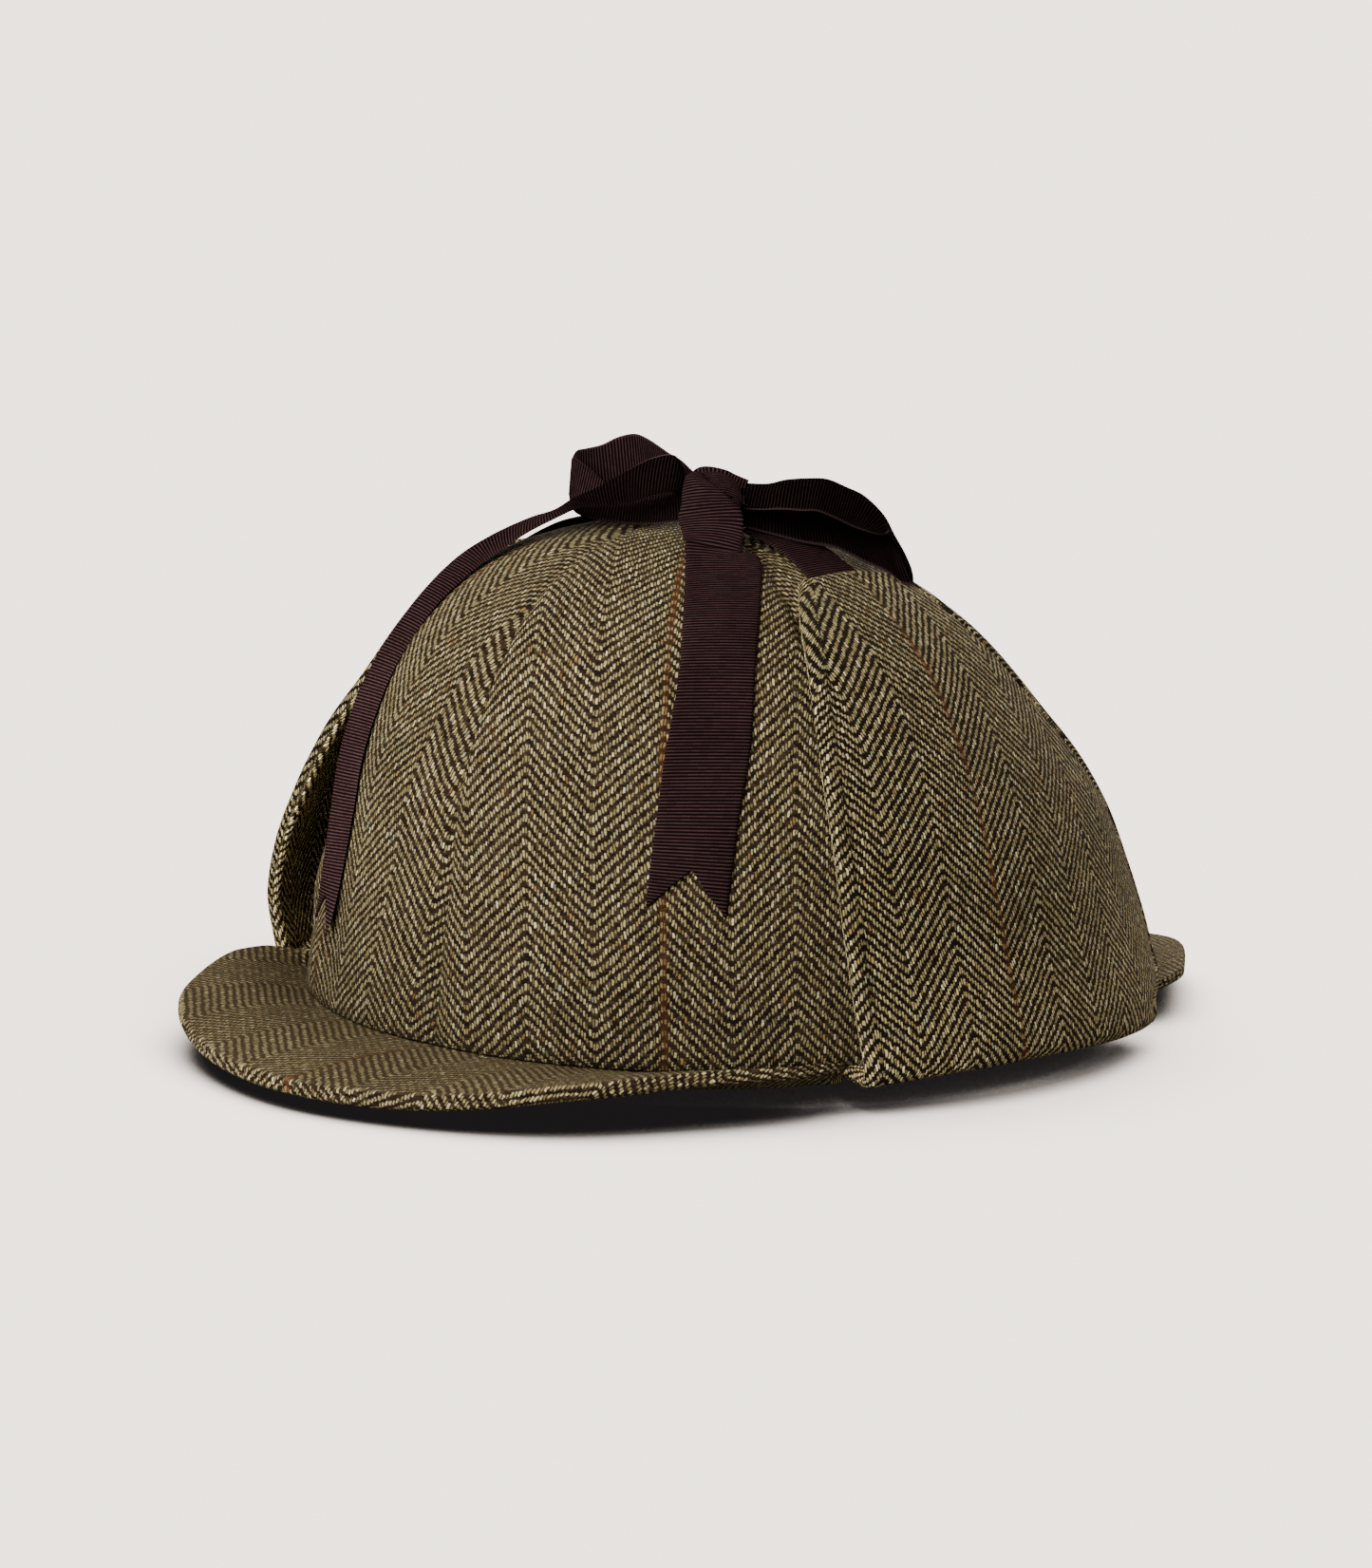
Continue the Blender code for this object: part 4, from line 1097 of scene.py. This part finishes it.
# The photo's view, in degrees and millimetres.
CAMERA_ROUND = 34.225      # from the front towards the wearer's left
CAMERA_ABOVE = 7.664
CAMERA_ROLL = 3.387
CAMERA_AIM = 46.398        # height over the crown's foot that it looks at
CAMERA_DISTANCE = 750.0
CAMERA_LENS = 74.23        # on a frame 36 mm high
CAMERA_SHIFT = -0.02984    # how far the picture slides sideways, in frame heights


def make_sun(name, direction, strength, softness, colour):
    """Broad soft light that comes from one direction."""
    data = bpy.data.lights.new(name, "SUN")
    data.energy = strength
    data.angle = math.radians(softness)
    data.color = srgb(colour)[:3]
    lamp = bpy.data.objects.new(name, data)
    lamp.rotation_euler = Vector(direction).to_track_quat("Z", "Y").to_euler()
    bpy.context.scene.collection.objects.link(lamp)


def make_floor(half, backdrop):
    """Pale paper floor that runs out to the horizon, with a painted shadow where the hat covers
    it.
    """
    low = FLOOR_LEVEL * MM
    corners = [(-half, -half, low), (half, -half, low), (half, half, low), (-half, half, low)]
    mesh = bpy.data.meshes.new("studio_floor")
    mesh.from_pydata(corners, [], [[0, 1, 2, 3]])
    obj = bpy.data.objects.new("studio_floor", mesh)
    bpy.context.scene.collection.objects.link(obj)
    material, tree, shader = new_material("pale_paper")
    put = partial(add_node, tree)
    seen = put("LightPath")
    # Painted shadow: the floor's light is darkened where the hat is near, by how much of it the
    # hat hides.
    near = put("AmbientOcclusion", {"Distance": CONTACT_REACH}, out=1)
    under = put("AmbientOcclusion", {"Distance": COVER_REACH}, out=1)
    near = put("MapRange", (near, 0.25, 0.97, 0.0, 1.0), **SMOOTH)
    under = put("MapRange", (under, 0.08, 0.50, 0.0, 1.0), **SMOOTH)
    shade = put("Math", (near, under), operation="MULTIPLY")
    base = put("Mix", {0: seen, 6: srgb("#706d6a"), 7: srgb("#000000")}, **BLEND)
    paper_and_painted_shadow = put("Mix", {0: shade, 6: srgb("#0b0a0a"), 7: srgb(PAPER)}, **BLEND)
    strength = put("Math", (seen, backdrop), operation="MULTIPLY")
    for socket, value in (("Base Color", base), ("Emission Color", paper_and_painted_shadow),
                          ("Emission Strength", strength)):
        tree.links.new(value, shader.inputs[socket])
    shader.inputs["Roughness"].default_value = 1.0
    shader.inputs["Specular IOR Level"].default_value = 0.0
    mesh.materials.append(material)


def make_air(light, backdrop):
    """Even light all round, with a brighter paper backdrop in view."""
    world = bpy.data.worlds.new("studio_air")
    world.use_nodes = True
    tree = world.node_tree
    put = partial(add_node, tree)
    sky = put("Background", (srgb(PAPER), light))
    paper = put("Background", (srgb(PAPER), backdrop))
    mix = put("MixShader", (put("LightPath"), sky, paper))
    tree.links.new(mix, tree.nodes["World Output"].inputs[0])
    return world


def make_camera():
    """The photograph's view: its angle, height and lens."""
    turn = (Matrix.Rotation(math.radians(CAMERA_ROUND), 4, "Z")
            @ Matrix.Rotation(math.radians(90.0 - CAMERA_ABOVE), 4, "X")
            @ Matrix.Rotation(math.radians(CAMERA_ROLL), 4, "Z"))
    target = (Vector((0.0, 0.0, CAMERA_AIM)) + Vector(SHIFT.tolist())) * MM
    back = turn.to_3x3() @ Vector((0.0, 0.0, 1.0))
    data = bpy.data.cameras.new("photo_camera")
    data.sensor_fit = "VERTICAL"
    data.sensor_height = 36.0
    data.lens = CAMERA_LENS
    data.shift_x = CAMERA_SHIFT
    camera = bpy.data.objects.new("photo_camera", data)
    camera.matrix_world = Matrix.Translation(target + back * CAMERA_DISTANCE * MM) @ turn
    bpy.context.scene.collection.objects.link(camera)
    bpy.context.scene.camera = camera


# --------------------------------------------------------------- operators

class HAT_OT_crown(bpy.types.Operator):
    """The six cloth panels of the crown."""
    bl_idname = "hat.crown"
    bl_label = "Crown"

    def execute(self, context):
        for number in range(6):
            make_gore(number)
        return {"FINISHED"}


class HAT_OT_peaks(bpy.types.Operator):
    """The front and back peaks."""
    bl_idname = "hat.peaks"
    bl_label = "Peaks"

    def execute(self, context):
        make_peak("front_peak", -1)
        make_peak("back_peak", 1)
        return {"FINISHED"}


class HAT_OT_flaps(bpy.types.Operator):
    """The two ear flaps, folded up."""
    bl_idname = "hat.flaps"
    bl_label = "Ear flaps"

    def execute(self, context):
        make_flap("ear_flap_left", 1)
        make_flap("ear_flap_right", -1)
        return {"FINISHED"}


class HAT_OT_bow(bpy.types.Operator):
    """Ties, loops, tails and knot of the ribbon."""
    bl_idname = "hat.bow"
    bl_label = "Ribbon bow"

    def execute(self, context):
        for row in RIBBONS:
            make_ribbon(row)
        make_knot()
        return {"FINISHED"}


class HAT_OT_stage(bpy.types.Operator):
    """Floor, lights and camera."""
    bl_idname = "hat.stage"
    bl_label = "Stage"

    def execute(self, context):
        settings = context.scene.hat_stage
        make_floor(settings.floor, settings.backdrop)
        make_camera()
        for lamp, strength in zip(LAMPS, (settings.key, settings.back)):
            direction = [lamp.left * LEFT[k] + lamp.forward * FORWARD[k] + lamp.up * (k == 2)
                         for k in range(3)]
            make_sun(lamp.name, direction, strength, SUN_SOFTNESS, lamp.colour)
        context.scene.world = make_air(settings.sky, settings.backdrop)
        return {"FINISHED"}


class HAT_PT_panel(bpy.types.Panel):
    """The hat's sizes, colours and steps, in the sidebar."""
    bl_idname = "HAT_PT_panel"
    bl_label = "Deerstalker hat"
    bl_space_type = "VIEW_3D"
    bl_region_type = "UI"
    bl_category = "Hat"

    def draw(self, context):
        for group in ("hat_cloth", "hat_ribbon", "hat_stage"):
            settings = getattr(context.scene, group)
            for name in settings.bl_rna.properties.keys():
                if name not in ("rna_type", "name"):
                    self.layout.prop(settings, name)
        for step in ("crown", "peaks", "flaps", "bow", "stage"):
            self.layout.operator("hat." + step)


CLASSES = (
    ClothSettings, RibbonSettings, StageSettings, HAT_OT_crown, HAT_OT_peaks,
    HAT_OT_flaps, HAT_OT_bow, HAT_OT_stage, HAT_PT_panel,
)


def register():
    """Add the hat's settings, steps and panel to Blender."""
    for item in CLASSES:
        bpy.utils.register_class(item)
    bpy.types.Scene.hat_cloth = bpy.props.PointerProperty(type=ClothSettings)
    bpy.types.Scene.hat_ribbon = bpy.props.PointerProperty(type=RibbonSettings)
    bpy.types.Scene.hat_stage = bpy.props.PointerProperty(type=StageSettings)


def unregister():
    """Take them out again."""
    for name in ("hat_cloth", "hat_ribbon", "hat_stage"):
        delattr(bpy.types.Scene, name)
    for item in reversed(CLASSES):
        bpy.utils.unregister_class(item)


def main():
    """Build the stage and the hat."""
    register()
    bpy.ops.hat.stage()
    bpy.ops.hat.crown()
    bpy.ops.hat.peaks()
    bpy.ops.hat.flaps()
    bpy.ops.hat.bow()


if __name__ == "__main__":
    main()
